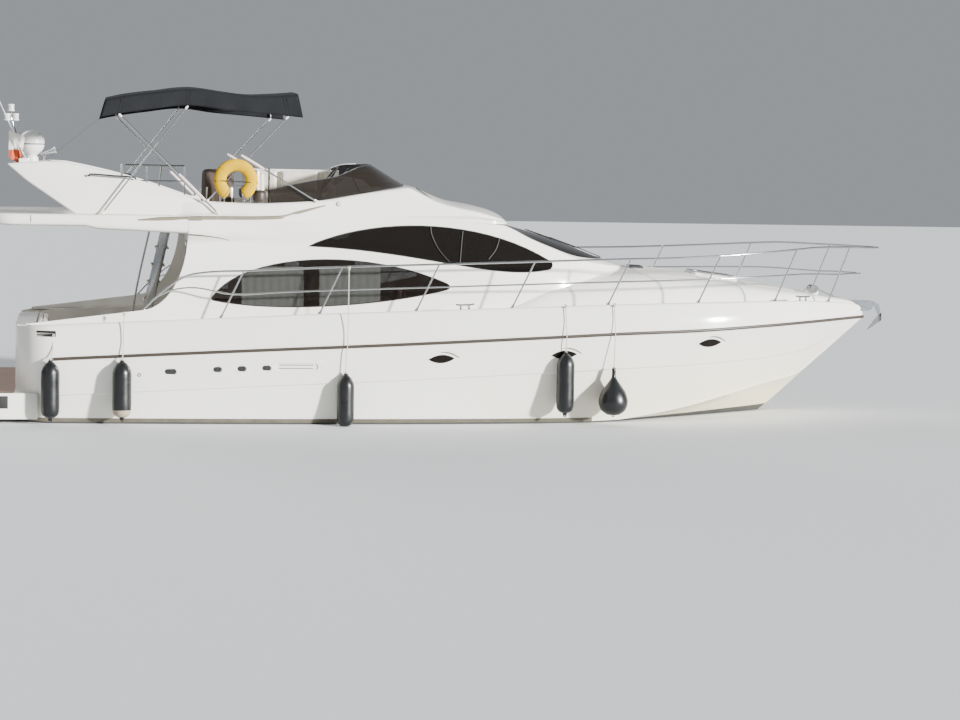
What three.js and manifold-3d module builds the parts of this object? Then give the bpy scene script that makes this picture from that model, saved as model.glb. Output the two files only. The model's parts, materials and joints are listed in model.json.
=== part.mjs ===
// Flybridge motor yacht, about 13 m over all, afloat.
// Millimetres. +X is forward, +Y is to port, +Z is up. The origin is on the
// centreline at the waterline, half way along the hull moulding.
import * as THREE from "three";
import { mergeVertices } from "three/addons/utils/BufferGeometryUtils.js";
import Module from "manifold-3d";

const wasm = await Module();
wasm.setup();

// Driving dimensions
const GAP = 0.4; // between pieces that touch
const TRANSOM_X = -6000;
const CORNER_R = 500; // plan radius of the stern quarters
const CORNER_X = TRANSOM_X + CORNER_R;
const SOLE_Z = 740; // cockpit and saloon floor
const SOLE_T = 20;
const ROOF_Z = 2660; // top of the deckhouse walls
const FLY_Z = 2720; // flybridge floor
const WALL = 45; // deckhouse wall
const GLASS_T = 10;
const GLASS_SET = 9; // how far the glass lies in from the outer face
const TUBE_R = 14; // guard rail tube
const THIN_R = 11; // bimini and mid rail tube
const WELL_Y = 1430; // half width of the cockpit and saloon well
const WELL_AFT = -5740;
const WELL_FORE = 620;
const BULKHEAD_X = -3700; // after face of the saloon
const GATE = { y0: 820, y1: 1360, t: 40 };
const PLATFORM = { aft: -7050, half: 1840, bottom: 60, top: 400, corner: 420 };
const SHAFT = { y: 640, propX: -5230, propZ: -760, slope: 0.17, r: 19, length: 1750 };
const PROP = { r: 262, hub: 52, hubLength: 130, blades: 4 };
const RUDDER = { x: -5660, top: -440, bottom: -1010, chord: 330, t: 46 };
const WHEEL = { x: -1815, y: -560, z: 3235, r: 190, tilt: 0.62 };

// Materials
const paint = (color, roughness, metalness = 0, extra = {}) =>
  new THREE.MeshStandardMaterial({ color, roughness, metalness, ...extra });
const gelcoat = paint(0xf4f2ea, 0.28);
const railBrown = paint(0x51433a, 0.5);
const teak = paint(0xa87a4c, 0.7);
const smoked = paint(0x2a2724, 0.08, 0, { transparent: true, opacity: 0.8 });
const stainless = paint(0xc9cbcc, 0.2, 1);
const bronze = paint(0xa9823f, 0.35, 1);
const canvas = paint(0x34373b, 0.9);
const vinyl = paint(0xe9e4d8, 0.6);
const blackRubber = paint(0x26282a, 0.45);
const buoyYellow = paint(0xf3d51c, 0.6);
const iron = paint(0x6d7173, 0.6, 0.6);
const wood = paint(0x8a5a34, 0.5);

// Geometry helpers
function solidOf(geometry) {
  const g = geometry.clone();
  g.deleteAttribute("normal");
  g.deleteAttribute("uv");
  const merged = mergeVertices(g, 1e-3);
  return new wasm.Manifold(
    new wasm.Mesh({
      numProp: 3,
      vertProperties: merged.attributes.position.array,
      triVerts: new Uint32Array(merged.index.array),
    }),
  );
}

function geometryOf(solid) {
  const mesh = solid.getMesh();
  return new THREE.BufferGeometry()
    .setAttribute("position", new THREE.BufferAttribute(new Float32Array(mesh.vertProperties), 3))
    .setIndex(new THREE.BufferAttribute(new Uint32Array(mesh.triVerts), 1));
}

const join = (...parts) => parts.map(asSolid).reduce((a, b) => a.add(b));
const cut = (body, ...tools) => tools.map(asSolid).reduce((a, b) => a.subtract(b), asSolid(body));
const common = (a, b) => asSolid(a).intersect(asSolid(b));

function asSolid(part) {
  return part.isBufferGeometry ? solidOf(part) : part;
}

// Closed skin through rings of equal length, capped at both ends.
function loft(rings) {
  const count = rings[0].length;
  const position = rings.flat().flatMap((p) => [p.x, p.y, p.z]);
  const index = [];
  for (let r = 0; r + 1 < rings.length; r++) {
    for (let i = 0; i < count; i++) {
      const a = r * count + i;
      const b = r * count + ((i + 1) % count);
      index.push(a, b, b + count, a, b + count, a + count);
    }
  }
  cap(rings[0], 0, true, index);
  cap(rings.at(-1), (rings.length - 1) * count, false, index);
  const geometry = new THREE.BufferGeometry()
    .setAttribute("position", new THREE.Float32BufferAttribute(position, 3))
    .setIndex(index);
  return volumeOf(geometry) < 0 ? flipped(geometry) : geometry;
}

// Triangles that close one ring, seen along its own normal.
function cap(ring, start, reverse, index) {
  const normal = new THREE.Vector3();
  ring.forEach((p, i) => normal.add(p.clone().cross(ring[(i + 1) % ring.length])));
  const axis = ["x", "y", "z"].reduce((m, k) => (Math.abs(normal[k]) > Math.abs(normal[m]) ? k : m));
  const [u, v] = { x: ["y", "z"], y: ["z", "x"], z: ["x", "y"] }[axis];
  const flat = ring.map((p) => new THREE.Vector2(p[u], p[v]));
  const facesUp = normal[axis] > 0;
  if (!facesUp) flat.reverse();
  bulge(flat);
  const last = ring.length - 1;
  for (const face of THREE.ShapeUtils.triangulateShape(flat, [])) {
    const f = face.map((k) => start + (facesUp ? k : last - k));
    const ordered = facesUp ? f : [f[0], f[2], f[1]];
    index.push(...(reverse ? [ordered[0], ordered[2], ordered[1]] : ordered));
  }
}

// Moves points that lie on a straight edge outward a little, so that none is dropped.
function bulge(flat) {
  const original = flat.map((p) => p.clone());
  original.forEach((p, i) => {
    const before = original[(i - 1 + flat.length) % flat.length];
    const edge = original[(i + 1) % flat.length].clone().sub(before);
    const turn = edge.cross(p.clone().sub(before));
    const straight = Math.abs(turn) < 1e-6 * edge.lengthSq();
    if (straight) flat[i].add(new THREE.Vector2(edge.y, -edge.x).multiplyScalar(1e-3));
  });
}

function volumeOf(geometry) {
  const p = geometry.attributes.position;
  const [a, b, c] = [new THREE.Vector3(), new THREE.Vector3(), new THREE.Vector3()];
  let sum = 0;
  for (let i = 0; i < geometry.index.count; i += 3) {
    a.fromBufferAttribute(p, geometry.index.getX(i));
    b.fromBufferAttribute(p, geometry.index.getX(i + 1));
    c.fromBufferAttribute(p, geometry.index.getX(i + 2));
    sum += a.dot(b.cross(c));
  }
  return sum;
}

function flipped(geometry, really = true) {
  if (!really) return geometry;
  const array = Array.from(geometry.index.array);
  for (let i = 0; i < array.length; i += 3) [array[i + 1], array[i + 2]] = [array[i + 2], array[i + 1]];
  return geometry.setIndex(array);
}

const v3 = (x, y, z) => new THREE.Vector3(x, y, z);

// Half sections run from the centreline below to the centreline above, at one x.
function fullRing(x, half) {
  const starboard = half.map(([y, z]) => v3(x, -y, z));
  const port = half
    .slice()
    .reverse()
    .filter(([y]) => y > 0)
    .map(([y, z]) => v3(x, y, z));
  return [...starboard, ...port];
}

// Smooth value of one column of a table, by its first column x.
function smooth(table, key) {
  const n = table.length;
  const slope = (i) => {
    const a = table[Math.max(0, i - 1)];
    const b = table[Math.min(n - 1, i + 1)];
    return (b[key] - a[key]) / (b.x - a.x);
  };
  return (x) => {
    if (x <= table[0].x) return table[0][key];
    if (x >= table[n - 1].x) return table[n - 1][key];
    const i = table.findIndex((row, k) => k + 1 < n && x <= table[k + 1].x && x >= row.x);
    const span = table[i + 1].x - table[i].x;
    const t = (x - table[i].x) / span;
    const [p, q] = [table[i][key], table[i + 1][key]];
    const [m, k] = [slope(i) * span, slope(i + 1) * span];
    const t2 = t * t;
    const t3 = t2 * t;
    return p * (2 * t3 - 3 * t2 + 1) + m * (t3 - 2 * t2 + t) + q * (3 * t2 - 2 * t3) + k * (t3 - t2);
  };
}

// Rows of numbers under named columns.
const rows = (names, ...lines) => lines.map((line) => Object.fromEntries(names.map((n, i) => [n, line[i]])));
const columns = (table) =>
  Object.fromEntries(
    Object.keys(table[0])
      .filter((k) => k !== "x")
      .map((k) => [k, smooth(table, k)]),
  );

function regular(radius, sides) {
  const points = [];
  for (let i = 0; i < sides; i++) {
    const a = (i * 2 * Math.PI) / sides;
    points.push(new THREE.Vector2(radius * Math.cos(a), radius * Math.sin(a)));
  }
  return new THREE.Shape(points);
}

function tube(points, radius, steps, sides = 8, tension = 0.5) {
  const path = new THREE.CatmullRomCurve3(points, false, "catmullrom", tension);
  return new THREE.ExtrudeGeometry(regular(radius, sides), { steps, extrudePath: path, bevelEnabled: false });
}

function rod(a, b, radius, sides = 8) {
  const along = b.clone().sub(a);
  const turn = new THREE.Quaternion().setFromUnitVectors(v3(0, 1, 0), along.clone().normalize());
  return new THREE.CylinderGeometry(radius, radius, along.length(), sides)
    .applyQuaternion(turn)
    .translate(...a.clone().add(b).multiplyScalar(0.5).toArray());
}

function box(x0, x1, y0, y1, z0, z1) {
  const block = new THREE.BoxGeometry(x1 - x0, y1 - y0, z1 - z0);
  return block.translate((x0 + x1) / 2, (y0 + y1) / 2, (z0 + z1) / 2);
}

// An outline in x and z, given thickness from y0 to y1.
function plateXZ(shape, y0, y1, curveSegments = 10) {
  return new THREE.ExtrudeGeometry(shape, { depth: y1 - y0, bevelEnabled: false, curveSegments })
    .rotateX(Math.PI / 2)
    .translate(0, y1, 0);
}

// An outline in x and y, given thickness from z0 to z1.
function plateXY(shape, z0, z1, curveSegments = 8) {
  const plate = new THREE.ExtrudeGeometry(shape, { depth: z1 - z0, bevelEnabled: false, curveSegments });
  return plate.translate(0, 0, z0);
}

const outline = (points) => new THREE.Shape(points.map(([a, b]) => new THREE.Vector2(a, b)));

function roundedBox(x0, x1, y0, y1, z0, z1, radius) {
  const r = radius;
  const shape = new THREE.Shape()
    .moveTo(x0 + r, y0)
    .lineTo(x1 - r, y0)
    .absarc(x1 - r, y0 + r, r, -Math.PI / 2, 0)
    .lineTo(x1, y1 - r)
    .absarc(x1 - r, y1 - r, r, 0, Math.PI / 2)
    .lineTo(x0 + r, y1)
    .absarc(x0 + r, y1 - r, r, Math.PI / 2, Math.PI)
    .lineTo(x0, y0 + r)
    .absarc(x0 + r, y0 + r, r, Math.PI, 1.5 * Math.PI);
  return plateXY(shape, z0, z1, 3);
}

const mirrorY = (geometry) => flipped(mergeVertices(geometry).scale(1, -1, 1));

// The group and its meshes
const yacht = new THREE.Group();

function add(name, part, material) {
  const geometry = part.isBufferGeometry ? part : geometryOf(part);
  const mesh = new THREE.Mesh(geometry, material);
  mesh.name = name;
  yacht.add(mesh);
  return mesh;
}

// Hull lines: keel height, chine breadth and height, rub rail breadth and height,
// and fullness, under 1 where the topside bulges and over 1 where it flares.
const HULL = rows(
  ["x", "keelZ", "chineY", "chineZ", "railY", "railZ", "fullness"],
  [-6000, -500, 1690, -70, 1860, 822, 0.62],
  [-5000, -555, 1760, -70, 1935, 880, 0.62],
  [-3000, -620, 1830, -70, 2052, 985, 0.62],
  [-1000, -660, 1845, -60, 2100, 1080, 0.66],
  [1000, -670, 1760, -25, 2074, 1182, 0.74],
  [2000, -650, 1600, 25, 2000, 1232, 0.84],
  [3000, -560, 1320, 165, 1835, 1264, 0.98],
  [3600, -440, 1090, 290, 1665, 1290, 1.06],
  [4200, -190, 790, 425, 1400, 1314, 1.12],
  [4600, 106, 540, 495, 1170, 1328, 1.12],
  [5000, 459, 190, 552, 888, 1339, 1.08],
  [5400, 812, 30, 836, 560, 1347, 1.0],
  [5750, 1121, 14, 1131, 240, 1352, 1.0],
  [5990, 1334, 6, 1338, 22, 1354, 1.0],
);
const hullLine = columns(HULL);
const HULL_X = [
  -6000, -5975, -5880, -5720, -5500, -5000, -4000, -3000, -2000, -1000, 0, 1000, 1500, 2000, 2500, 3000, 3500,
  4000, 4500, 4900, 5250, 5550, 5800, 5920, 5990,
];
const KNUCKLE_DROP = 480; // knuckle line below the rub rail
const KNUCKLE_STEP = 14;
const CHINE_FLAT = 75;

// How much the plan of the stern is drawn in at x by its round quarters.
function quarterCut(x) {
  if (x >= CORNER_X) return 0;
  const t = (CORNER_X - x) / CORNER_R;
  return CORNER_R * (1 - Math.sqrt(Math.max(0, 1 - t * t)));
}

function hullHalf(x) {
  const cutIn = quarterCut(x);
  const at = Object.fromEntries(Object.entries(hullLine).map(([k, f]) => [k, f(x)]));
  const chineY = Math.max(4, at.chineY - cutIn);
  const railY = at.railY - cutIn;
  const height = at.railZ - at.chineZ;
  const knuckle = Math.max(0.45, 1 - KNUCKLE_DROP / Math.max(height, 1));
  const side = (t, step = 0) => [
    Math.max(3, chineY + (railY - chineY) * Math.pow(t, at.fullness) - step),
    at.chineZ + height * t,
  ];
  const step = Math.min(KNUCKLE_STEP, railY * 0.05);
  const flat = Math.min(CHINE_FLAT, chineY * 0.3);
  return [
    [0, at.keelZ],
    [chineY - flat, at.chineZ - Math.min(14, (at.chineZ - at.keelZ) * 0.2)],
    [chineY, at.chineZ],
    side(knuckle * 0.35, step),
    side(knuckle * 0.72, step),
    side(knuckle - 0.012, step),
    side(knuckle + 0.012),
    side(knuckle + (1 - knuckle) * 0.5),
    [railY, at.railZ],
    [0, at.railZ],
  ];
}

const hullForm = solidOf(loft(HULL_X.map((x) => fullRing(x, hullHalf(x)))));

// The cockpit and saloon well, and the engine space under it.
const wellOutline = (inset) =>
  outline([
    [WELL_AFT + inset, -WELL_Y + inset],
    [WELL_FORE - inset, -WELL_Y + inset],
    [WELL_FORE - inset, WELL_Y - inset],
    [WELL_AFT + inset, WELL_Y - inset],
  ]);
const wellShape = wellOutline(0);
const gateCut = box(TRANSOM_X - 200, WELL_AFT + 60, GATE.y0, GATE.y1, SOLE_Z - SOLE_T, 2200);
const ENGINE = { x0: -3650, x1: -2450, half: 370, bottom: -130, top: 690 };

// Vents let into both topsides: their ends, middle height and half height.
const VENTS = rows(
  ["x0", "x1", "z", "half"],
  [-4082, -3918, 700, 42],
  [-3455, -3335, 733, 42],
  [-3142, -3018, 745, 42],
  [-2820, -2694, 757, 40],
  [-2650, -2080, 778, 46],
);
const VENT_DEPTH = 14;
const LEFT = Math.PI / 2;

function vents() {
  return [-1, 1].flatMap((sign) => {
    const within = hullForm.translate([0, -sign * VENT_DEPTH, 0]);
    return VENTS.map(({ x0, x1, z, half }) => {
      const pill = new THREE.Shape()
        .moveTo(x0 + half, z - half)
        .lineTo(x1 - half, z - half)
        .absarc(x1 - half, z, half, -LEFT, LEFT)
        .lineTo(x0 + half, z + half)
        .absarc(x0 + half, z, half, LEFT, 3 * LEFT);
      return cut(plateXZ(pill, sign > 0 ? 1500 : -2300, sign > 0 ? 2300 : -1500, 5), within);
    });
  });
}

function buildHull() {
  const well = plateXY(wellShape, SOLE_Z - SOLE_T, 3000);
  const engineRoom = box(-4500, -2200, -1050, 1050, -145, SOLE_Z);
  const fittings = [-1, 1].flatMap((sign) => [shaftLog(sign), rudderBoss(sign)]);
  const bores = [-1, 1].map((sign) => shaftPiece(SHAFT.r + 6, sign, LOG_AFT - 20, SHAFT.length + 30, 12));
  const shell = cut(hullForm, well, gateCut, engineRoom, ...vents());
  add("hull", cut(join(shell, ...fittings), ...bores), gelcoat);
  for (const [side, sign] of [
    ["stbd", -1],
    ["port", 1],
  ]) {
    const y = sign * SHAFT.y;
    const block = box(ENGINE.x0, ENGINE.x1, y - ENGINE.half, y + ENGINE.half, ENGINE.bottom, ENGINE.top);
    add(`engine_${side}`, block, iron);
    add(`shaft_bracket_${side}`, cut(shaftBracket(sign), grown(hullForm)), bronze);
  }
}

// Deck moulding, from the rub rail up: gunwale height, side deck inner edge, crown height.
const DECK = rows(
  ["x", "gunZ", "innerY", "crownZ"],
  [-6000, 1262, 1500, 1262],
  [-5000, 1318, 1600, 1300],
  [-3350, 1404, 1640, 1372],
  [-2060, 1469, 1640, 1437],
  [-780, 1520, 1630, 1488],
  [500, 1569, 1600, 1537],
  [1000, 1588, 1560, 1900],
  [1500, 1606, 1500, 2000],
  [2350, 1628, 1370, 2052],
  [3100, 1640, 1180, 1998],
  [3600, 1643, 1010, 1928],
  [4050, 1644, 850, 1872],
  [4460, 1640, 690, 1806],
  [4960, 1622, 440, 1730],
  [5400, 1590, 230, 1655],
  [5700, 1562, 120, 1606],
  [5880, 1532, 60, 1548],
  [5990, 1470, 8, 1474],
);
const deckLine = columns(DECK);
const gunwaleY = (x) => hullLine.railY(x) - quarterCut(x) - Math.min(75, hullLine.railY(x) * 0.12);

function deckHalf(x) {
  const railY = hullLine.railY(x) - quarterCut(x);
  const railZ = hullLine.railZ(x) + GAP;
  const gunZ = deckLine.gunZ(x);
  const gunY = gunwaleY(x);
  const toe = Math.min(1, gunY / 500); // the toe rail narrows into the bow
  const deckZ = gunZ - 32 * toe;
  const crownZ = Math.max(deckLine.crownZ(x), deckZ);
  const innerY = Math.min(deckLine.innerY(x), gunY - 150 * toe);
  const rise = crownZ - deckZ;
  return [
    [0, railZ],
    [railY - 1, railZ],
    [gunY + (railY - gunY) * 0.72, railZ + (gunZ - railZ) * 0.45],
    [gunY + 6, gunZ - 50 * toe],
    [gunY - 12 * toe, gunZ - 12 * toe],
    [gunY - 42 * toe, gunZ],
    [gunY - 82 * toe, gunZ - 4 * toe],
    [gunY - 96 * toe, deckZ],
    [innerY, deckZ + 1],
    [innerY * 0.95, deckZ + rise * 0.34 + 2],
    [innerY * 0.84, deckZ + rise * 0.66 + 3],
    [innerY * 0.62, deckZ + rise * 0.87 + 4],
    [innerY * 0.32, deckZ + rise * 0.97 + 5],
    [0, crownZ + 6],
  ];
}

const HATCH = { x: 3720, half: 270 };
const deckForm = solidOf(loft(HULL_X.map((x) => fullRing(x, deckHalf(x)))));

const deckSolid = cut(deckForm, plateXY(wellShape, SOLE_Z, 3000), gateCut);

// Slots through the stern quarters, each with a bar that the mooring lines go round.
const SLOT = { x0: -5725, x1: -5470, z0: 1135, z1: 1213, innerY: 1700, barR: 12 };
function quarterSlot(sign) {
  const outer = sign * 2000;
  const inner = sign * SLOT.innerY;
  return box(SLOT.x0, SLOT.x1, Math.min(inner, outer), Math.max(inner, outer), SLOT.z0, SLOT.z1);
}

function slotBar(sign) {
  const z = (SLOT.z0 + SLOT.z1) / 2;
  return rod(v3(SLOT.x0 - 12, sign * 1738, z), v3(SLOT.x1 + 12, sign * 1775, z), SLOT.barR);
}

// Mooring cleats on both gunwales.
const CLEATS_X = [-135, 4830];
const CLEAT = { half: 125, post: 55, rise: 58, r: 13, inset: 58 };
function cleat(x, sign) {
  const at = (along, up) =>
    v3(x + along, sign * (gunwaleY(x + along) - CLEAT.inset), deckLine.gunZ(x + along) + up);
  const posts = [-CLEAT.post, CLEAT.post].map((along) => rod(at(along, -12), at(along, CLEAT.rise), CLEAT.r));
  return join(rod(at(-CLEAT.half, CLEAT.rise), at(CLEAT.half, CLEAT.rise), CLEAT.r), ...posts);
}

// The anchor windlass: its case with a drum across it.
const WINDLASS = { x: 5215, length: 190, half: 68, top: 1750, drumR: 58, drum: 210 };
function windlass() {
  const { x, length, half, top, drumR, drum } = WINDLASS;
  return join(
    box(x - length / 2, x + length / 2, -half, half, deckLine.crownZ(x) - 60, top),
    new THREE.CylinderGeometry(drumR, drumR, drum, 14).translate(x + 20, 0, top),
  );
}

function buildDeck() {
  const slots = [-1, 1].map(quarterSlot);
  const bars = [-1, 1].map(slotBar);
  const cleats = [-1, 1].flatMap((sign) => CLEATS_X.map((x) => cleat(x, sign)));
  add("deck", join(cut(deckSolid, ...slots), hatchFrame(), windlass(), ...bars, ...cleats), gelcoat);
  add("sole", plateXY(wellOutline(4), SOLE_Z - SOLE_T + GAP, SOLE_Z), teak);
}

// The rub rail: one dark band round both sides, over the joint of hull and deck.
const RUB = { depth: 42, proud: 26 };
function buildRubRail() {
  const xs = [-5500, ...HULL_X.filter((x) => x > -5500)];
  const ring = (x, sign) => {
    const y = hullLine.railY(x) - quarterCut(x) + GAP * 2;
    const z = hullLine.railZ(x);
    const half = RUB.depth / 2;
    return [
      v3(x, sign * y, z - half),
      v3(x + 4, sign * (y + RUB.proud * 0.8), z - half * 0.7),
      v3(x + 6, sign * (y + RUB.proud), z),
      v3(x + 4, sign * (y + RUB.proud * 0.8), z + half * 0.7),
      v3(x, sign * y, z + half),
    ];
  };
  const nose = v3(6028, 0, hullLine.railZ(5990));
  const noseRing = [
    v3(5994, 0, nose.z - 21),
    v3(6018, 0, nose.z - 14),
    nose,
    v3(6018, 0, nose.z + 14),
    v3(5994, 0, nose.z + 21),
  ];
  const port = xs.map((x) => ring(x, 1)).reverse();
  const rings = [...xs.map((x) => ring(x, -1)), noseRing, ...port];
  add("rub_rail", loft(rings), railBrown);
}

// A solid made a little larger all round, to cut a neighbour that lies against it.
function grown(solid, by = GAP) {
  const shift = [
    [by, 0, 0],
    [-by, 0, 0],
    [0, by, 0],
    [0, -by, 0],
    [0, 0, by],
    [0, 0, -by],
  ];
  return shift.reduce((sum, s) => sum.add(solid.translate(s)), solid);
}

// Deckhouse: half breadths at its foot, middle, upper wall, crease under the overhang
// and shoulder, and the heights of the shoulder and of the crown, which is the
// windscreen at its fore end.
const HOUSE = rows(
  ["x", "foot", "middle", "upper", "crease", "shoulder", "shoulderZ", "crownZ"],
  [-5850, 1690, 1690, 1690, 1705, 1720, 2660, 2700],
  [-4300, 1690, 1650, 1610, 1705, 1720, 2660, 2700],
  [-3700, 1680, 1628, 1588, 1696, 1706, 2660, 2700],
  [-3200, 1676, 1620, 1548, 1622, 1650, 2660, 2700],
  [-2500, 1670, 1612, 1500, 1534, 1590, 2660, 2700],
  [-1500, 1664, 1608, 1486, 1480, 1472, 2660, 2700],
  [-500, 1645, 1590, 1470, 1452, 1432, 2660, 2700],
  [100, 1610, 1560, 1445, 1422, 1396, 2658, 2690],
  [500, 1560, 1512, 1405, 1376, 1335, 2630, 2662],
  [850, 1500, 1455, 1365, 1338, 1300, 2462, 2588],
  [1170, 1440, 1390, 1310, 1284, 1245, 2332, 2492],
  [1470, 1350, 1300, 1230, 1202, 1160, 2215, 2388],
  [1750, 1210, 1160, 1095, 1068, 1030, 2140, 2292],
  [2044, 960, 910, 850, 830, 800, 2095, 2180],
  [2230, 690, 650, 600, 584, 560, 2075, 2118],
  [2330, 400, 370, 340, 324, 300, 2062, 2082],
);
const houseLine = columns(HOUSE);
const HOUSE_X = [
  -5850, -4300, -3700, -3200, -2500, -1500, -500, 100, 350, 500, 680, 850, 1170, 1470, 1610, 1750, 1900, 2044,
  2230, 2330,
];
const HOUSE_FOOT = 1280;

// The deckhouse section at x, drawn in by inset. Where openTop holds, it runs up past the roof.
function houseHalf(x, inset, openTop) {
  const at = Object.fromEntries(Object.entries(houseLine).map(([k, f]) => [k, f(x)]));
  const shoulderZ = at.shoulderZ - inset * 0.35;
  const height = at.shoulderZ - HOUSE_FOOT;
  const crownZ = openTop && x < 420 ? 2900 : at.crownZ - inset;
  const narrow = (y) => Math.max(12, y - inset);
  return [
    [0, HOUSE_FOOT],
    [narrow(at.foot), HOUSE_FOOT],
    [narrow(at.middle), HOUSE_FOOT + height * 0.42],
    [narrow((at.middle + at.upper) / 2 + 8), HOUSE_FOOT + height * 0.62],
    [narrow(at.upper), HOUSE_FOOT + height * 0.79],
    [narrow(at.crease), HOUSE_FOOT + height * 0.875],
    [narrow(at.shoulder), shoulderZ],
    [narrow(at.shoulder) * 0.84, shoulderZ + (crownZ - shoulderZ) * 0.42],
    [narrow(at.shoulder) * 0.56, shoulderZ + (crownZ - shoulderZ) * 0.8],
    [narrow(at.shoulder) * 0.26, shoulderZ + (crownZ - shoulderZ) * 0.96],
    [0, crownZ],
  ];
}

function houseForm(inset, openTop = false) {
  const last = HOUSE_X.length - 1;
  const rings = HOUSE_X.map((x, i) => fullRing(i === last ? x - inset : x, houseHalf(x, inset, openTop)));
  return solidOf(loft(rings));
}

// Side windows, as pairs of curves from tip to tip.
const SALOON_WINDOW = new THREE.Shape()
  .moveTo(-3450, 1665)
  .bezierCurveTo(-3050, 2250, -1400, 2330, -330, 1866)
  .bezierCurveTo(-270, 1838, -268, 1790, -335, 1772)
  .bezierCurveTo(-1200, 1550, -2650, 1450, -3430, 1610)
  .quadraticCurveTo(-3480, 1625, -3450, 1665);
const PILOT_WINDOW = new THREE.Shape()
  .moveTo(-2185, 2334)
  .bezierCurveTo(-1450, 2700, 50, 2800, 1125, 2168)
  .bezierCurveTo(1190, 2128, 1165, 2052, 1085, 2045)
  .bezierCurveTo(350, 1900, -650, 2285, -2185, 2334);
// After edge of the deckhouse sides, swept from the coaming to the overhang.
const AFT_SWEEP = new THREE.Shape()
  .moveTo(-5900, 3100)
  .lineTo(-5900, 1285)
  .lineTo(-5730, 1306)
  .lineTo(-4330, 1482)
  .bezierCurveTo(-4050, 1530, -3790, 1900, -3768, 2480)
  .lineTo(-3768, 3100);
// The windscreen in plan: its foot is round, and it ends under the flybridge brow.
const SCREEN = new THREE.Shape()
  .moveTo(560, -1286)
  .lineTo(900, -1260)
  .bezierCurveTo(1400, -1190, 2060, -980, 2075, 0)
  .bezierCurveTo(2060, 980, 1400, 1190, 900, 1260)
  .lineTo(560, 1286);
const CURVE = 10; // steps in each curved edge of a window
const innerHouse = houseForm(WALL, true);

function buildHouse() {
  const deckBelow = deckForm.add(deckForm.translate([0, 0, GAP]));
  const windows = [-1, 1].flatMap((s) =>
    [SALOON_WINDOW, PILOT_WINDOW].map((w) => plateXZ(w, s > 0 ? 1000 : -2200, s > 0 ? 2200 : -1000, CURVE)),
  );
  const above = box(-6500, 3000, -2500, 2500, ROOF_Z, 3400);
  const sweep = plateXZ(AFT_SWEEP, -2500, 2500, 10);
  const deckWell = plateXY(wellShape, SOLE_Z, HOUSE_FOOT + 600);
  const shell = cut(houseForm(0), innerHouse, above, sweep, deckBelow, ...windows);
  const walls = cut(shell, plateXY(SCREEN, 1900, 2900, CURVE), deckWell);
  const house = join(walls, bulkhead());
  add("deckhouse", house, gelcoat);

  const pane = cut(houseForm(GLASS_SET), houseForm(GLASS_SET + GLASS_T));
  const rim = 3; // clearance for the sealant round each pane
  for (const [side, y0, y1] of [
    ["stbd", -2200, -1000],
    ["port", 1000, 2200],
  ]) {
    const saloon = common(pane, plateXZ(shrunk(SALOON_WINDOW, rim), y0, y1));
    add(`saloon_window_${side}`, saloon, smoked);
    const pilot = common(pane, plateXZ(shrunk(PILOT_WINDOW, rim), y0, y1));
    add(`pilot_window_${side}`, cut(pilot, box(-6000, 3000, -3000, 3000, ROOF_Z - 6, 3400)), smoked);
  }
  const screen = common(pane, plateXY(shrunk(SCREEN, rim), 1900, 2900));
  add("windscreen", cut(screen, box(-6000, 566, -3000, 3000, 0, 4000)), smoked);
  return house;
}

// An outline drawn in by an even distance, with mitred corners.
function shrunk(shape, by) {
  const points = shape.getPoints(CURVE).filter((p, i, all) => i === 0 || p.distanceTo(all[i - 1]) > 1);
  if (points.at(-1).distanceTo(points[0]) < 1) points.pop();
  const n = points.length;
  const inward = Math.sign(THREE.ShapeUtils.area(points)) * by;
  const normal = (a, b) => new THREE.Vector2(a.y - b.y, b.x - a.x).normalize();
  return new THREE.Shape(
    points.map((p, i) => {
      const [n1, n2] = [normal(points[(i - 1 + n) % n], p), normal(p, points[(i + 1) % n])];
      return n1.clone().add(n2).multiplyScalar(inward / (1 + n1.dot(n2))).add(p);
    }),
  );
}

// After bulkhead of the saloon with its sliding door.
const DOOR = { y0: -420, y1: 330, top: 2300, t: 26 };
function bulkhead() {
  const x0 = BULKHEAD_X;
  const low = box(x0, x0 + 40, -WELL_Y + 4, WELL_Y - 4, SOLE_Z + GAP, 1500);
  const high = common(box(x0, x0 + 40, -1800, 1800, 1350, ROOF_Z), houseForm(WALL - 3));
  const doorway = box(x0 - 50, x0 + 90, DOOR.y0 + 20, DOOR.y1 - 20, SOLE_Z - 50, DOOR.top);
  const lights = [
    box(x0 - 50, x0 + 90, DOOR.y1 + 70, 1270, 1000, DOOR.top),
    box(x0 - 50, x0 + 90, -1270, DOOR.y0 - 70, 1000, DOOR.top),
  ];
  return cut(join(low, high), doorway, ...lights, grown(deckSolid));
}

function buildDoor() {
  const dx = BULKHEAD_X - 8 - DOOR.t;
  add("saloon_door", box(dx, dx + DOOR.t, DOOR.y0 - 10, DOOR.y1 + 10, SOLE_Z + 8, DOOR.top + 20), smoked);
}

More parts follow.
